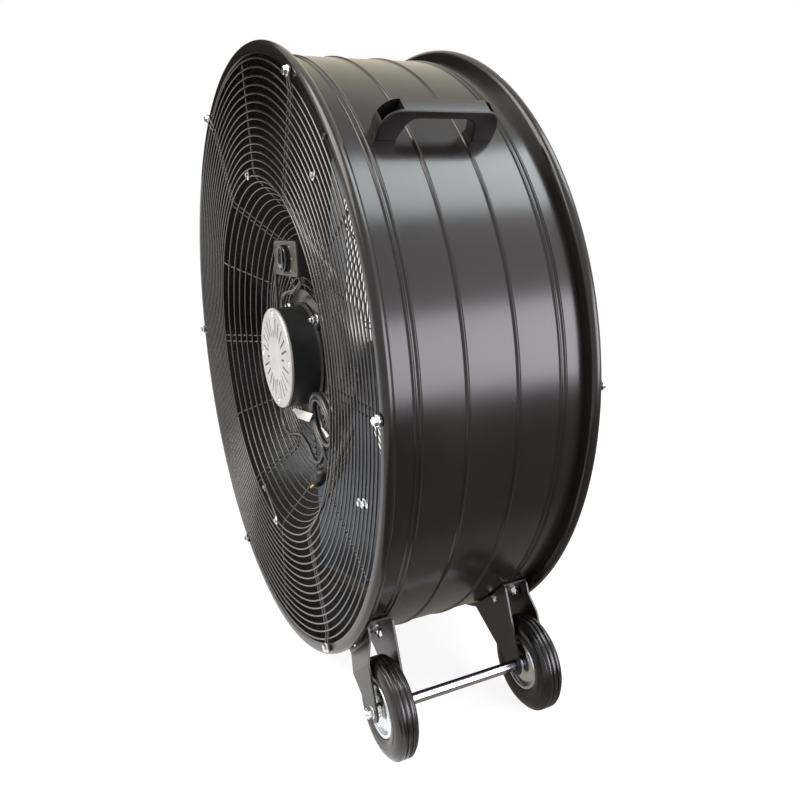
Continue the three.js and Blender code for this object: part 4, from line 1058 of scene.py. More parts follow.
for end, guard in (("rear", rear_guard_mesh()), ("front", front_guard_mesh())):
    ridden(piece_from(f"{end}_wire_guard", guard, wire_coat, crease=60), "drum", "guard_wire",
           f"{end}_guard")


def guard_bolts():
    """The six bolts through the rear rim."""
    head = bolt_head(10.5, 4.6, 7.6)
    shank = lathe([(0, -1), (3, -1), (3, 18.4), (1.2, 18.8), (1.1, 20), (0, 20)], 20, closed=False)
    add_to(head, shank)
    head.transform(Matrix.Translation((GUARD_BOLT_RADIUS, -RIM_FACE - SPOKE_WIRE - 0.5, 0)))
    return round_axis(head, SPOKE_SETS, GUARD_TURN, zinc)


for end, bolts in (("rear", guard_bolts()), ("front", mirrored(guard_bolts()))):
    ridden(piece_from(f"{end}_rim_bolts", bolts, zinc), "drum", "zinc_steel",
           *numbered(f"{end}_guard_bolt", SPOKE_SETS))


# small clamps that hold the guard's wires, at the pixels where the photo shows them
CLAMP_PIXELS = [(249, 175), (315, 175), (266, 487), (277.5, 520), (362, 503), (367, 503)]
STRAP_PIXELS = [(261.7, 475), (278.6, 520)]
CLIP_PIXEL = (325.6, 136.5)


def on_guard(px, py):
    """The place on the guard's flat part or funnel that the photo shows at this pixel."""
    plane = -GUARD_FACE
    for _ in range(40):
        x, z = seen_at(px, py, plane)
        r = math.hypot(x, z)
        if r > BEND_RING:
            goal = -GUARD_FACE + DISH_RISE * (OUTER_RING - r) / (OUTER_RING - BEND_RING)
        else:
            share = min((BEND_RING - r) / (BEND_RING - FLOOR_RADIUS), 1)
            goal = BEND_PLANE + (-FLOOR_PLANE - BEND_PLANE) * share
        plane += (goal - plane) * 0.3
    return (x, plane - RING_WIRE / 2, z), math.atan2(z, x)


def clamps():
    """Small plated clamps, each with one screw."""
    plate = prism(rounded_rectangle(17, 8, 3), -1.4, 0)
    clamp = bevelled(plate, 0.3, 2)
    screw = hex_prism(7, -3.4, 0, 0.6)
    screw.transform(Matrix.Translation((0, -1.4, 0)))
    add_to(clamp, screw)
    marks = []
    for pixel in CLAMP_PIXELS:
        place, angle = on_guard(*pixel)
        marks.append((place, -angle))
    bm = at_marks(clamp, marks, zinc)
    ridden(piece_from("guard_clamps", bm, zinc), "drum", "zinc_steel")


def strap():
    """A flat grey strap across two rings, and one small clip."""
    sheet = Vector((0, 0.9, 0))
    a, b = (Vector(on_guard(*pixel)[0]) - sheet for pixel in STRAP_PIXELS)
    along = (b - a).normalized()
    side = Vector((0, 1, 0)).cross(along) * 4
    loops = []
    for p in (a - along * 3, a, b, b + along * 3):
        loops.append([p - side, p + side, p + side + sheet, p - side + sheet])
    bm = bevelled(skinned(loops, False, True), 0.2, 2)
    place, angle = on_guard(*CLIP_PIXEL)
    clip = bevelled(prism(rounded_rectangle(9, 4, 1.5), -1.8, 0), 0.4, 2)
    add_to(bm, clip, Matrix.Translation(place) @ Matrix.Rotation(-angle, 4, "Y"))
    ridden(piece_from("guard_strap", bm, tie_plastic), "drum", "zinc_steel")


clamps()
strap()


# ------------------------------------------------------------------ motor
CAP_FACE = -MOTOR_BACK
CAP_INNER = CAP_FACE + END_CAP_RIM
CAP_LIP = 5
CAP_SCREW_TURN = 5  # degrees
CAP_SCREWS = 4
CAP_SCREW_CIRCLE = 77
CAP_SCREW_SEAT = CAP_FACE + 1.2
CAP_SLOTS = 24
CAP_SLOT_HALF = 2
CAP_SLOT_DEPTH = 4.4
MOTOR_BOLTS = 4


def cap_slot(inner, outer):
    """The cutter of a radial slot with round ends, drawn at angle 0."""
    half = CAP_SLOT_HALF
    outline = arc(outer - half, 0, half, -90, 90, 6) + arc(inner + half, 0, half, 90, 270, 6)
    return prism(outline, CAP_FACE - 3, CAP_FACE + CAP_SLOT_DEPTH)


def end_cap():
    """The cast cover with radial slots, shorter beside its four sunk screws."""
    profile = [(0, CAP_FACE - 0.6), (30, CAP_FACE - 0.6), (33, CAP_FACE),
               (MOTOR_RADIUS - 2.2, CAP_FACE), (MOTOR_RADIUS - 1, CAP_FACE + 0.5),
               (MOTOR_RADIUS - 0.3, CAP_FACE + 1.4), (MOTOR_RADIUS, CAP_FACE + 2.4),
               (MOTOR_RADIUS, CAP_FACE + CAP_LIP), (MOTOR_RADIUS - 4.3, CAP_FACE + CAP_LIP),
               (MOTOR_RADIUS - 4.3, CAP_INNER), (MOTOR_RADIUS - 8, CAP_INNER),
               (MOTOR_RADIUS - 8, CAP_FACE + 5.5),
               (26, CAP_FACE + 5.5), (26, CAP_INNER + 5), (0, CAP_INNER + 5)]
    cap = lathe(profile, 128, closed=False)
    cutters = bmesh.new()
    for i in range(CAP_SLOTS):
        angle = (i + 0.5) * 360 / CAP_SLOTS
        beside_screw = (angle - CAP_SCREW_TURN + 8) % 90 < 16
        slot = cap_slot(36, 50) if beside_screw else cap_slot(40, 73)
        add_to(cutters, slot, turn_about_axis(angle))
    for i in range(CAP_SCREWS):
        recess = lathe([(0, CAP_FACE - 2), (7, CAP_FACE - 2), (7, CAP_SCREW_SEAT),
                        (0, CAP_SCREW_SEAT)], 28, closed=False)
        recess.transform(Matrix.Translation((CAP_SCREW_CIRCLE, 0, 0)))
        add_to(cutters, recess, turn_about_axis(CAP_SCREW_TURN + i * 90))
    return piece_from("motor_rear_cover", cut(cap, cutters), cast_metal, crease=30)


def can_with_flange():
    """The motor's can, flared into a flange with four round ears."""
    back = CAP_FACE + CAP_LIP + 0.3
    front = FLANGE_BACK + FLANGE
    wall = MOTOR_RADIUS - 4
    profile = [(wall, back), (MOTOR_RADIUS - 0.8, back), (MOTOR_RADIUS, back + 0.8),
               (MOTOR_RADIUS, FLANGE_BACK - 5), (MOTOR_RADIUS + 0.9, FLANGE_BACK - 1.6),
               (MOTOR_RADIUS + 4, FLANGE_BACK), (MOTOR_RADIUS + 6, FLANGE_BACK + 1),
               (MOTOR_RADIUS + 6, front - 0.6), (MOTOR_RADIUS + 5.4, front), (wall, front)]
    bm = lathe(profile, 128)
    ear = prism(arc(MOTOR_BOLT_CIRCLE, 0, 11, -90, 90, 14)
                + [(MOTOR_RADIUS - 3, 15), (MOTOR_RADIUS - 3, -15)], FLANGE_BACK, front)
    ear = bevelled(ear, 0.8, 2)
    add_to(bm, round_axis(ear, MOTOR_BOLTS, MOTOR_BOLT_TURN, motor_coat))
    return piece_from("motor_can", bm, motor_coat, crease=35)


def motor_front():
    back = FLANGE_BACK - 3
    profile = [(20.3, back), (MOTOR_RADIUS - 4.3, back), (MOTOR_RADIUS - 4.3, FLANGE_BACK + 2),
               (SHIELD_NOSE + 8, FLANGE_BACK + 3.4), (SHIELD_NOSE, FLANGE_BACK + 5),
               (SHIELD_NOSE - 9, -SHIELD_NOSE_END - 3), (SHIELD_NOSE - 12, -SHIELD_NOSE_END),
               (11, -SHIELD_NOSE_END), (11, back + 12.3), (20.3, back + 12.3)]
    return piece_from("motor_front_cover", lathe(profile, 96), motor_coat)


def motor_hardware():
    """Studs and nuts on the ears, and the cover's screws."""
    nut = stud_and_nut(13, 6.5, 9.5, 4, 5)
    nut.transform(Matrix.Translation((MOTOR_BOLT_CIRCLE, FLANGE_BACK - 0.3, 0)))
    shank = lathe([(0, 0), (4, 0), (4, 13), (3.4, 13.6), (0, 13.6)], 20, closed=False)
    add_to(nut, shank, Matrix.Translation((MOTOR_BOLT_CIRCLE, FLANGE_BACK - 0.3, 0)))
    bolts = round_axis(nut, MOTOR_BOLTS, MOTOR_BOLT_TURN, zinc)
    ridden(piece_from("motor_mount_bolts", bolts, zinc), "drum", "zinc_steel",
           *numbered("motor_bolt", MOTOR_BOLTS))
    screw = pan_screw(5.2, 3.4)
    screw.transform(Matrix.Translation((CAP_SCREW_CIRCLE, CAP_SCREW_SEAT, 0)))
    screws = piece_from("motor_cover_screws",
                        round_axis(screw, CAP_SCREWS, CAP_SCREW_TURN, zinc), zinc)
    ridden(screws, "drum", "zinc_steel")


ridden(end_cap(), "drum", "cast_aluminium", "motor_end_cap")
ridden(can_with_flange(), "drum", "black_paint", "motor_housing")
ridden(motor_front(), "drum", "black_paint", "motor_front_shield")
motor_hardware()


# ------------------------------------------------------------------ impeller
def blade_loop(share):
    """The blade's closed section at this share of its span."""
    span = BLADE_TIP - BLADE_ROOT
    grow = 1 - (1 - min(share / 0.45, 1)) ** 2
    chord = BLADE_ROOT_CHORD + (BLADE_CHORD - BLADE_ROOT_CHORD) * grow
    corner = max(share - BLADE_CORNER, 0) / (1 - BLADE_CORNER)
    chord *= 1 - 0.16 * (1 - math.sqrt(max(1 - corner * corner, 0)))
    pitch = math.radians(BLADE_ROOT_PITCH + (BLADE_TIP_PITCH - BLADE_ROOT_PITCH) * share)
    sweep = BLADE_SWEEP * math.sin(math.pi * share)
    points = []
    for side in (1, -1):
        for k in range(15):
            s = side * (k / 14 - 0.5)
            edge = min(1.0, (0.5 - abs(s)) * chord / 1.2 + 0.35)
            rise = BLADE_CAMBER * chord * (1 - 4 * s * s) + side * BLADE_SHEET / 2 * edge
            along = s * chord + sweep
            points.append((BLADE_ROOT + span * share,
                           FAN_PLANE + along * math.sin(pitch) + rise * math.cos(pitch),
                           along * math.cos(pitch) - rise * math.sin(pitch)))
    return points


def make_blades():
    shares = [i / 32 for i in range(30)] + [BLADE_CORNER, 0.95, 0.968, 0.982, 0.992, 1]
    for i in range(BLADE_COUNT):
        blade = skinned([blade_loop(share) for share in shares], False, True)
        piece = piece_from(f"blade_{i + 1}", blade, blade_metal, crease=40,
                           place=turn_about_axis(i * 360 / BLADE_COUNT))
        ridden(piece, "impeller", "blade_sheet", f"fan_blade_{i + 1}")


def make_hub():
    """The impeller's hub with its screws, and the shaft."""
    back = FAN_PLANE - HUB_LENGTH / 2
    front = FAN_PLANE + HUB_LENGTH / 2
    profile = [(9.3, back), (HUB_RADIUS - 2, back), (HUB_RADIUS, back + 2),
               (HUB_RADIUS, front - 5), (HUB_RADIUS - 1.5, front - 1.5), (HUB_RADIUS - 5, front),
               (HUB_RADIUS - 30, front), (HUB_RADIUS - 33, front + 0.6), (30, front + 5.2),
               (26, front + 6), (9.3, front + 6)]
    hub = lathe(profile, 96)
    screw = bolt_head(10, 4.5, 8)
    screw.transform(Matrix.Rotation(math.pi, 4, "X"))
    screw.transform(Matrix.Translation((70, front, 0)))
    add_to(hub, round_axis(screw, HUB_SCREWS, 180 / HUB_SCREWS, cast_metal))
    ridden(piece_from("impeller_hub", hub, cast_metal), "impeller", "cast_aluminium", "fan_hub")
    shaft = lathe([(0, -133), (8.2, -133), (9, -132.2), (9, 11.2), (8.2, 12), (0, 12)], 40,
                  closed=False)
    ridden(piece_from("motor_shaft", shaft, turned_steel), "impeller", "bright_steel",
           "fan_shaft")


make_blades()
make_hub()


# ------------------------------------------------------------------ switch box
def make_switch_box():
    mouth = -BOX_FACE + BOX_COVER + 0.3
    shell = bevelled(prism(rounded_rectangle(BOX_WIDTH, BOX_HEIGHT, BOX_CORNER), mouth, BOX_BACK),
                     1.0, 2, angle=60)
    inner = prism(rounded_rectangle(BOX_WIDTH - 5, BOX_HEIGHT - 5, BOX_CORNER - 2.5),
                  mouth - 1, BOX_BACK - 2.5)
    ridden(piece_from("switch_housing", cut(shell, inner), plastic, place=box_place()), "drum",
           "black_plastic", "switch_box")
    cover = prism(rounded_rectangle(BOX_WIDTH, BOX_HEIGHT, BOX_CORNER), -BOX_FACE, mouth - 0.3)
    cover = bevelled(cover, 0.9, 3, angle=60)
    field = bevelled(prism(rounded_rectangle(BOX_WIDTH - 9, BOX_HEIGHT - 9, BOX_CORNER - 4),
                           -BOX_FACE - 3, -BOX_FACE + 0.9), 0.4, 2, angle=60)
    hole = lathe([(0, -BOX_FACE - 4), (4.6, -BOX_FACE - 4), (4.6, mouth + 1), (0, mouth + 1)],
                 32, closed=False)
    hole.transform(Matrix.Translation((KNOB_X, 0, 0)))
    cover = cut(cover, field, hole)
    ridden(piece_from("switch_cover", cover, box_plastic, place=box_place()), "drum",
           "black_plastic", "switch_box_cover")
    marks = []
    for x in (-1, 1):
        for z in (-1, 1):
            marks.append((box_point(x * 49, -BOX_FACE + 0.9, z * 18.5), 0.6 * x * z))
    screws = at_marks(pan_screw(2.6, 1.6), marks, box_plastic)
    ridden(piece_from("switch_cover_screws", screws, box_plastic), "drum", "black_plastic")
    make_dial()
    make_knob()


def make_dial():
    """Plain ticks for the positions, raised round the knob."""
    tick = bevelled(prism([(26, -0.7), (29.5, -0.7), (29.5, 0.7), (26, 0.7)],
                          -BOX_FACE + 0.5, -BOX_FACE + 1.0), 0.1, 1)
    bm = bmesh.new()
    for i in range(KNOB_POSITIONS):
        add_to(bm, tick.copy(),
               Matrix.Translation((KNOB_X, 0, 0)) @ turn_about_axis(90 - KNOB_STEP * i))
    tick.free()
    ridden(piece_from("dial_ticks", bm, paper, place=box_place()), "drum", "black_plastic")


def make_knob():
    """A round knob with a bowl and a grip across it."""
    seat = -BOX_FACE - 0.3
    face = seat - 8
    bowl = KNOB_RADIUS - 3.5
    profile = [(0, seat), (KNOB_RADIUS, seat), (KNOB_RADIUS, seat - 5.5),
               (KNOB_RADIUS - 0.5, face + 0.9), (KNOB_RADIUS - 1.6, face),
               (bowl + 0.8, face), (bowl, face + 0.8), (bowl - 1.5, face + 5), (0, face + 5.4)]
    knob = lathe(profile, 72, closed=False)
    grip = bevelled(prism([(-3.4, -bowl + 0.4), (3.4, -bowl + 0.4), (2.6, bowl - 0.4),
                           (-2.6, bowl - 0.4)], face + 0.6, face + 6), 0.9, 3)
    add_to(knob, grip)
    add_to(knob, lathe([(0, seat - 1), (4, seat - 1), (4, -BOX_FACE + 4), (0, -BOX_FACE + 4)],
                       24, closed=False))
    place = box_place() @ Matrix.Translation((KNOB_X, 0, 0))
    ridden(piece_from("speed_dial_knob", knob, gloss_plastic, place=place), "knob",
           "black_plastic", "speed_knob")


make_switch_box()


# ------------------------------------------------------------------ carrying handle
def make_handle():
    """A moulded grip bar, seated on the drum, with a screw pocket in each foot."""
    top = DRUM_RADIUS + HANDLE_RISE
    under = top - HANDLE_BAR
    foot = DRUM_RADIUS - 6

    def bend(a, control, b, steps=10):
        a, control, b = Vector(a), Vector(control), Vector(b)
        return [tuple((1 - t) ** 2 * a + 2 * t * (1 - t) * control + t * t * b)
                for t in (i / steps for i in range(steps + 1))]

    side = [(HANDLE_LOW, foot)]
    side += bend((HANDLE_LOW, DRUM_RADIUS + 14), (HANDLE_LOW + 2, top - 2), (HANDLE_LOW + 28, top))
    side += bend((HANDLE_HIGH - 22, top), (HANDLE_HIGH - 4, top - 2),
                 (HANDLE_HIGH, DRUM_RADIUS + 16))
    side += [(HANDLE_HIGH, foot), (FINGER_HIGH + 6, foot), (FINGER_HIGH + 3, DRUM_RADIUS + 8)]
    side += bend((FINGER_HIGH, under - 14), (FINGER_HIGH - 2, under), (FINGER_HIGH - 18, under))
    side += bend((FINGER_LOW + 20, under), (FINGER_LOW + 4, under), (FINGER_LOW, under - 16))
    side += [(FINGER_LOW - 3, DRUM_RADIUS + 8), (FINGER_LOW - 6, foot)]
    half = HANDLE_WIDTH / 2
    loops = [[(x, y, z) for y, z in side] for x in (-half, half)]
    bar = skinned(loops, False, True)
    rails = [e for e in bar.edges if e.is_manifold and all(
        abs(abs(v.co.x) - half) < 0.01 for v in e.verts)
        and abs(e.verts[0].co.x - e.verts[1].co.x) < 0.01]
    bmesh.ops.bevel(bar, geom=rails, offset=2.6, segments=4, profile=0.5, affect="EDGES",
                    clamp_overlap=True)
    tidy(bar)
    drum_form = lathe([(0, -200), (DRUM_RADIUS + 0.3, -200), (DRUM_RADIUS + 0.3, 200), (0, 200)],
                      ROUND_STEPS, closed=False)
    pockets = []
    for low, high in ((HANDLE_LOW + 2.6, HANDLE_LOW + 28), (HANDLE_HIGH - 21, HANDLE_HIGH - 7)):
        pocket = prism(rounded_rectangle(HANDLE_WIDTH - 5, 60, 1.5), low, high)
        pocket.transform(Matrix.Translation((0, 0, HANDLE_SEAT + 30)))
        pockets.append(pocket)
    body = cut(bar, drum_form, *pockets)
    ridden(piece_from("carrying_handle", body, plastic, crease=28,
                      place=radial_frame(HANDLE_TURN)), "drum", "black_plastic", "carry_handle")
    screws = bmesh.new()
    for y in (HANDLE_LOW + 14, HANDLE_HIGH - 12):
        screw = pan_screw(5.5, 3.4)
        screw.transform(Matrix.Rotation(-math.pi / 2, 4, "X"))
        add_to(screws, screw, Matrix.Translation((0, y, HANDLE_SEAT)))
    ridden(piece_from("handle_screws", screws, zinc, place=radial_frame(HANDLE_TURN)), "drum",
           "zinc_steel")


make_handle()


# ------------------------------------------------------------------ forks and wheels
FORK_PLACE = radial_frame(-AXLE_ANGLE)
WEB_RADIUS = DRUM_RADIUS + BEAD_HEIGHT + 0.3
JOGGLE_START = RIM_RADIUS + 3
JOGGLE_END = RIM_RADIUS + 33
NOTCH_RADIUS = 11
WHEEL_CENTRE = Vector((AXLE_REACH * math.cos(math.radians(AXLE_ANGLE)), 0,
                       -AXLE_REACH * math.sin(math.radians(AXLE_ANGLE))))


def fork_outline():
    """The cheek's outline, [tangential place, reach from the drum's axis]."""
    base = [(t, math.sqrt(WEB_RADIUS ** 2 - t * t)) for t in
            [FORK_BASE_HALF * (i / 8 - 1) for i in range(17)]]
    edge = [(FORK_BASE_HALF, WEB_RADIUS + 4)]
    tip = arc(0, AXLE_REACH, FORK_END_RADIUS, 21, 159, 20)
    return base + edge + tip + [(-t, r) for t, r in reversed(edge)]


def joggle(reach, outer):
    """How far a cheek stands out from the fork's middle plane at this reach."""
    if not outer:
        return FORK_LOW_HALF
    t = min(max((reach - JOGGLE_START) / (JOGGLE_END - JOGGLE_START), 0), 1)
    return FORK_TOP_HALF + (FORK_LOW_HALF - FORK_TOP_HALF) * t


def fork_cheek(way, outer):
    """One cheek on the side way of the middle plane, notched beside a bolt."""
    cheek = bmesh.new()
    cheek.faces.new([cheek.verts.new((t, 0, r)) for t, r in fork_outline()])
    for reach in (JOGGLE_START, JOGGLE_END):
        bmesh.ops.bisect_plane(cheek, geom=cheek.verts[:] + cheek.edges[:] + cheek.faces[:],
                               plane_co=(0, 0, reach), plane_no=(0, 0, 1))
    front = [(v, v.co.copy()) for v in cheek.verts]
    made = bmesh.ops.extrude_face_region(cheek, geom=cheek.faces[:])
    moved = [v for v in made["geom"] if isinstance(v, bmesh.types.BMVert)]
    for v in moved:
        v.co.y = way * (joggle(v.co.z, outer) - FORK_SHEET)
    for v, place in front:
        v.co.y = way * joggle(place.z, outer)
    tidy(cheek)
    hole = lathe([(0, -60), (AXLE_RADIUS + 0.3, -60), (AXLE_RADIUS + 0.3, 60), (0, 60)], 28,
                 closed=False)
    hole.transform(Matrix.Translation((0, 0, AXLE_REACH)))
    spread, shift, depth = (FORK_BOLT_SPREAD, 9, 15) if outer else (-11, 20, 13)
    notch = lathe([(0, -WEB_RADIUS - depth), (NOTCH_RADIUS, -WEB_RADIUS - depth),
                   (NOTCH_RADIUS, 20 - WEB_RADIUS), (0, 20 - WEB_RADIUS)], 32, closed=False)
    notch.transform(Matrix.Rotation(-math.pi / 2, 4, "X"))
    swing = math.asin(-way * spread / DRUM_RADIUS)
    notch.transform(Matrix.Rotation(swing, 4, "Y") @ Matrix.Translation((0, way * shift, 0)))
    return bevelled(cut(cheek, hole, notch), 0.6, 2, angle=60)


def fork_mesh(side):
    """Two cheeks and the curved web that is bolted to the drum."""
    bm = bmesh.new()
    for way in (-1, 1):
        add_to(bm, fork_cheek(way, way == side))
    half_angle = math.asin(FORK_BASE_HALF / WEB_RADIUS)
    low, high = sorted((side * (FORK_TOP_HALF - 0.4), -side * (FORK_LOW_HALF - 0.4)))
    loops = []
    for i in range(17):
        a = -half_angle + 2 * half_angle * i / 16
        loops.append([(r * math.sin(a), y, r * math.cos(a)) for r, y in (
            (WEB_RADIUS, low), (WEB_RADIUS, high), (WEB_RADIUS + FORK_SHEET, high),
            (WEB_RADIUS + FORK_SHEET, low))])
    add_to(bm, bevelled(skinned(loops, False, True), 0.5, 2, angle=60))
    bm.transform(Matrix.Translation((0, side * WHEEL_PLANE, 0)))
    return bm


def fork_bolts(side):
    """Two studs and nuts that hold the web, on opposite corners of it."""
    bm = bmesh.new()
    for way in (-1, 1):
        swing = math.asin(way * FORK_BOLT_SPREAD / DRUM_RADIUS)
        bolt = stud_and_nut(13, 6, 9.5, 4, 3.5)
        bolt.transform(Matrix.Rotation(-math.pi / 2, 4, "X"))
        lift = Matrix.Translation((0, side * WHEEL_PLANE + -way * FORK_BOLT_PLACE,
                                   WEB_RADIUS + FORK_SHEET))
        add_to(bm, bolt, Matrix.Rotation(swing, 4, "Y") @ lift)
    return bm


def tyre_profile():
    """Half the tyre's section, [radius, y]: bead, side wall with a line, shoulder, ribs."""
    half = TYRE_WIDTH / 2
    bead_radius = HUB_DISC_RADIUS + 0.3
    points = [(bead_radius, half - 4), (bead_radius + 1, half - 2.2), (bead_radius + 6, half - 0.6),
              (bead_radius + 9, half), (bead_radius + 12, half), (bead_radius + 12.8, half - 0.7),
              (bead_radius + 13.8, half - 0.7), (bead_radius + 14.6, half - 0.1),
              (WHEEL_RADIUS - 13, half - 0.4), (WHEEL_RADIUS - 8.5, half - 2.2),
              (WHEEL_RADIUS - 4.6, half - 4.8), (WHEEL_RADIUS - 3.4, half - 6.4),
              (WHEEL_RADIUS - 3.4, half - 7.4), (WHEEL_RADIUS - 1.2, half - 8.2),
              (WHEEL_RADIUS - 0.3, 9), (WHEEL_RADIUS, 7.4), (WHEEL_RADIUS, 5.4),
              (WHEEL_RADIUS - 0.5, 4.7), (WHEEL_RADIUS - 2, 4.4), (WHEEL_RADIUS - 2, 3.4),
              (WHEEL_RADIUS - 0.5, 3.1), (WHEEL_RADIUS, 2.4)]
    return points


def hub_profile():
    """Half the pressed hub's section, [radius, y]."""
    half = FORK_LOW_HALF - FORK_SHEET - 0.3
    return [(AXLE_RADIUS + 0.4, half), (9.6, half), (10.2, half - 0.8), (10.4, 15),
            (12, 14.2), (18, 14.6), (24, 14.4), (28, 13.6), (31, 12.2), (32.2, 11), (32.8, 8.6),
            (34, 8.4), (34.5, 12), (35, 15.6), (36.2, 16.6), (39.6, 16.4), (HUB_DISC_RADIUS, 14.8)]


def both_sides(half_profile):
    """A section and its mirror in y."""
    return half_profile + [(r, -y) for r, y in reversed(half_profile)]


def make_wheels():
    centre = Matrix.Translation(WHEEL_CENTRE)
    for name, side in (("rear", -1), ("front", 1)):
        place = Matrix.Translation(WHEEL_CENTRE + Vector((0, side * WHEEL_PLANE, 0)))
        tyre = piece_from(f"{name}_ribbed_tyre", lathe(both_sides(tyre_profile()), 128), rubber,
                          crease=40, place=place)
        ridden(tyre, f"{name}_wheel", "tyre_rubber", f"{name}_tyre")
        hub = piece_from(f"{name}_pressed_hub", lathe(both_sides(hub_profile()), 96), zinc,
                         crease=40, place=place)
        ridden(hub, f"{name}_wheel", "zinc_steel", f"{name}_wheel_hub")
        fork = piece_from(f"{name}_caster_fork", fork_mesh(side), fork_coat, crease=14,
                          place=FORK_PLACE)
        ridden(fork, "drum", "black_paint", f"{name}_fork")
        bolts = piece_from(f"{name}_fork_bolts", fork_bolts(side), zinc, place=FORK_PLACE)
        ridden(bolts, "drum", "zinc_steel", f"{name}_fork_bolt_1", f"{name}_fork_bolt_2")
        nut = cap_nut()
        if side > 0:
            nut.transform(Matrix.Rotation(math.pi, 4, "Z"))
        nut.transform(Matrix.Translation((0, side * (WHEEL_PLANE + FORK_LOW_HALF + 0.3), 0)))
        nut = piece_from(f"{name}_cap_nut", nut, zinc, place=centre)
        ridden(nut, "drum", "zinc_steel", f"{name}_axle_nut")
    reach = WHEEL_PLANE - FORK_LOW_HALF - 0.3
    tube = lathe([(AXLE_RADIUS + 0.3, -reach), (SPACER_RADIUS - 0.5, -reach),
                  (SPACER_RADIUS, -reach + 0.5), (SPACER_RADIUS, reach - 0.5),
                  (SPACER_RADIUS - 0.5, reach), (AXLE_RADIUS + 0.3, reach)], 48)
    ridden(piece_from("axle_spacer_tube", tube, tube_steel, place=centre), "drum",
           "zinc_steel", "axle_spacer")
    end = WHEEL_PLANE + FORK_LOW_HALF + 9
    rod = lathe([(0, -end), (AXLE_RADIUS, -end), (AXLE_RADIUS, end), (0, end)], 32, closed=False)
    ridden(piece_from("axle", rod, tube_steel, place=centre), "drum", "bright_steel",
           "axle_rod")


def cap_nut():
    """A domed nut on a washer, seated at y = 0, towards -Y."""
    bm = bolt_head(14.5, 7, 9)
    dome = [(0, -6)] + [(6.6 * math.cos(math.radians(a)), -8.2 - 6.8 * math.sin(math.radians(a)))
                        for a in range(0, 91, 10)]
    return add_to(bm, lathe(dome, 32, closed=False))


make_wheels()


# ------------------------------------------------------------------ blank tag
TAG_PLANE = -115
TAG_CORNERS = [(292.6, 409.8), (294.5, 407.9), (312.9, 413.7), (309.1, 422), (298.7, 418.3)]
TAG_END_CORNERS = [(321, 427.3), (323.4, 428.6), (328.8, 435.6), (327, 438)]


def make_tag():
    """A blank white tag folded round the cord: its two ends, at the pixels that show them."""
    tag = bmesh.new()
    for pixels in (TAG_CORNERS, TAG_END_CORNERS):
        corners = [seen_at(px, py, TAG_PLANE) for px, py in pixels]
        add_to(tag, bevelled(prism(corners, TAG_PLANE - 0.5, TAG_PLANE + 0.5), 0.2, 1, angle=60))
    ridden(piece_from("blank_cord_tag", tag, paper), "drum", "cord_jacket")


make_tag()


# ------------------------------------------------------------------ floor, world and lamps
FLOOR_HALF = 60  # metres
FLOOR_GLOW_SHARE = 0.62
FLOOR_GLOW = 1.42
ROOM_LIGHT = 0.42


def plain_tree(owner):
    """The empty node tree of a material or a world."""
    owner.use_nodes = True
    owner.node_tree.nodes.clear()
    return owner.node_tree


def background_rays(tree):
    """1 on the rays that see the backdrop: camera, glossy and transmission."""
    path = node(tree, "ShaderNodeLightPath").outputs
    return math_node(tree, "MAXIMUM", path["Is Camera Ray"],
                     math_node(tree, "MAXIMUM", path["Is Glossy Ray"],
                               path["Is Transmission Ray"]))


def staged(bm, name, material):
    """A piece of the studio, in metres."""
    thing = object_of(bm, name)
    thing.data.materials.append(material)
    return thing


def make_floor():
    """A pale floor that keeps shadows and glows to white for the background's rays."""
    bm = bmesh.new()
    bmesh.ops.create_grid(bm, x_segments=2, y_segments=2, size=FLOOR_HALF)
    material = bpy.data.materials.new("pale_floor")
    tree = plain_tree(material)
    seen = math_node(tree, "MULTIPLY", background_rays(tree), FLOOR_GLOW_SHARE)
    matt = node(tree, "ShaderNodeBsdfDiffuse", {"Color": (0.8, 0.8, 0.8, 1)})
    glow = node(tree, "ShaderNodeEmission", {"Color": (1, 1, 1, 1), "Strength": FLOOR_GLOW})
    mixed = node(tree, "ShaderNodeMixShader", {0: seen, 1: matt.outputs[0], 2: glow.outputs[0]})
    node(tree, "ShaderNodeOutputMaterial", {"Surface": mixed.outputs[0]})
    staged(bm, "floor", material)


def make_world():
    """Soft light on the object, and white for the background's rays."""
    world = bpy.data.worlds.new("studio")
    bpy.context.scene.world = world
    tree = plain_tree(world)
    soft = node(tree, "ShaderNodeBackground", {"Color": (0.97, 0.985, 1, 1),
                                               "Strength": ROOM_LIGHT})
    white = node(tree, "ShaderNodeBackground", {"Color": (1, 1, 1, 1), "Strength": 1.0})
    mixed = node(tree, "ShaderNodeMixShader", {0: background_rays(tree), 1: soft.outputs[0],
                                               2: white.outputs[0]})
    node(tree, "ShaderNodeOutputWorld", {"Surface": mixed.outputs[0]})


def facing(place, target):
    """The turn that points local -Z from the place to the target."""
    return (Vector(place) - Vector(target)).to_track_quat("Z", "Y")


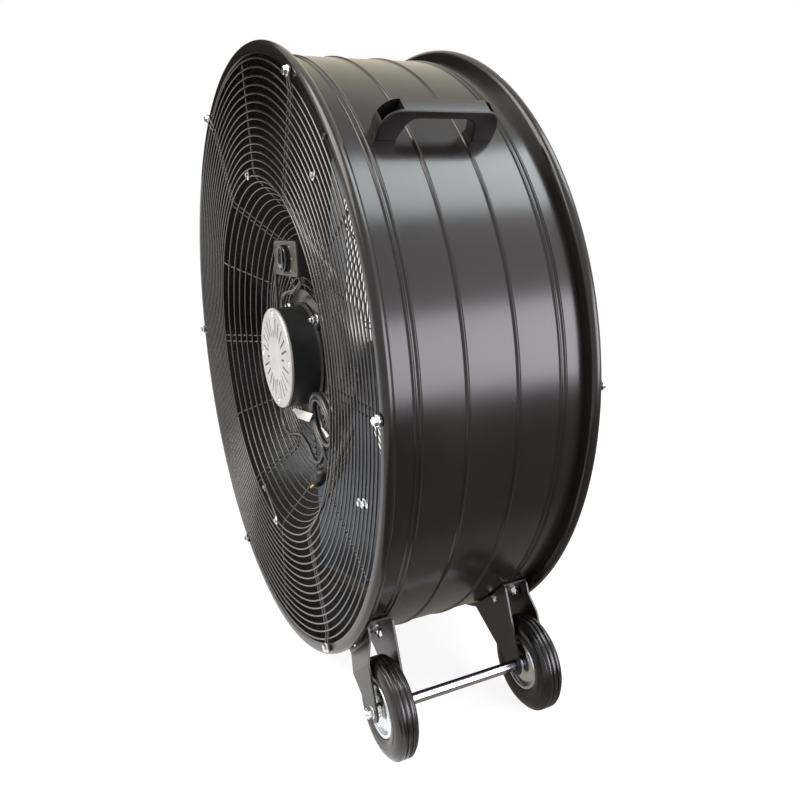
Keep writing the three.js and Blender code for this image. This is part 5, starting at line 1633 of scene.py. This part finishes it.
def softbox(name, place, target, width, height, power, colour, roll=0):
    """An area lamp, width and height in metres, power in watts, roll in degrees."""
    lamp = bpy.data.lights.new(name, "AREA")
    lamp.shape = "RECTANGLE"
    lamp.size = width
    lamp.size_y = height
    lamp.energy = power
    lamp.color = colour
    thing = linked(name, lamp)
    thing.location = place
    turned = facing(place, target) @ Quaternion((0, 0, 1), math.radians(roll))
    thing.rotation_euler = turned.to_euler()


def card(name, place, target, width, height, shade):
    """A studio card of an even tone that only reflections see."""
    bm = bmesh.new()
    bmesh.ops.create_grid(bm, x_segments=1, y_segments=1, size=0.5)
    bm.transform(Matrix.Translation(place) @ facing(place, target).to_matrix().to_4x4()
                 @ Matrix.Diagonal((width, height, 1, 1)))
    material = bpy.data.materials.new(name)
    tree = plain_tree(material)
    dull = node(tree, "ShaderNodeEmission", {"Color": (*shade, 1), "Strength": 1.0})
    node(tree, "ShaderNodeOutputMaterial", {"Surface": dull.outputs[0]})
    thing = staged(bm, name, material)
    thing.visible_camera = False
    thing.visible_diffuse = False
    thing.visible_shadow = False
    thing.visible_transmission = False


make_floor()
make_world()
MIDDLE = (0, 0, 0.5)
DRUM_SIDE = (0.45, 0, 0.62)
softbox("overhead_softbox", (-0.3, -2.0, 2.9), MIDDLE, 2.2, 2.2, 112, (1, 0.925, 0.84))
softbox("high_strip", (0.866, 1.107, 2.654), DRUM_SIDE, 1.7, 0.95, 43, (0.90, 0.98, 1), -54)
softbox("low_strip", (2.47, 1.30, 0.93), DRUM_SIDE, 2.0, 1.25, 66, (0.96, 0.89, 1))
card("side_glow", (3.55, 2.79, 2.31), DRUM_SIDE, 3.6, 4.4, (1.7, 1.6, 1.65))
card("dark_ground", (1.9, 0.8, 0.02), (1.9, 0.8, -1), 2.6, 3.6, (0.18, 0.158, 0.135))
card("grey_ground", (-0.6, 1.49, 0.01), (-0.6, 1.49, -1), 2.7, 3.2, (0.34, 0.31, 0.27))
card("rim_shade", (-0.62, -0.33, 1.17), (1, -0.33, 1.17), 0.72, 0.75, (0.02, 0.018, 0.016))
card("warm_wall", (-1.9, 1.4, 2.3), (0.2, 0, 0.97), 3.6, 3.2, (1.14, 1.03, 0.85))

bpy.context.scene.view_settings.view_transform = "Standard"
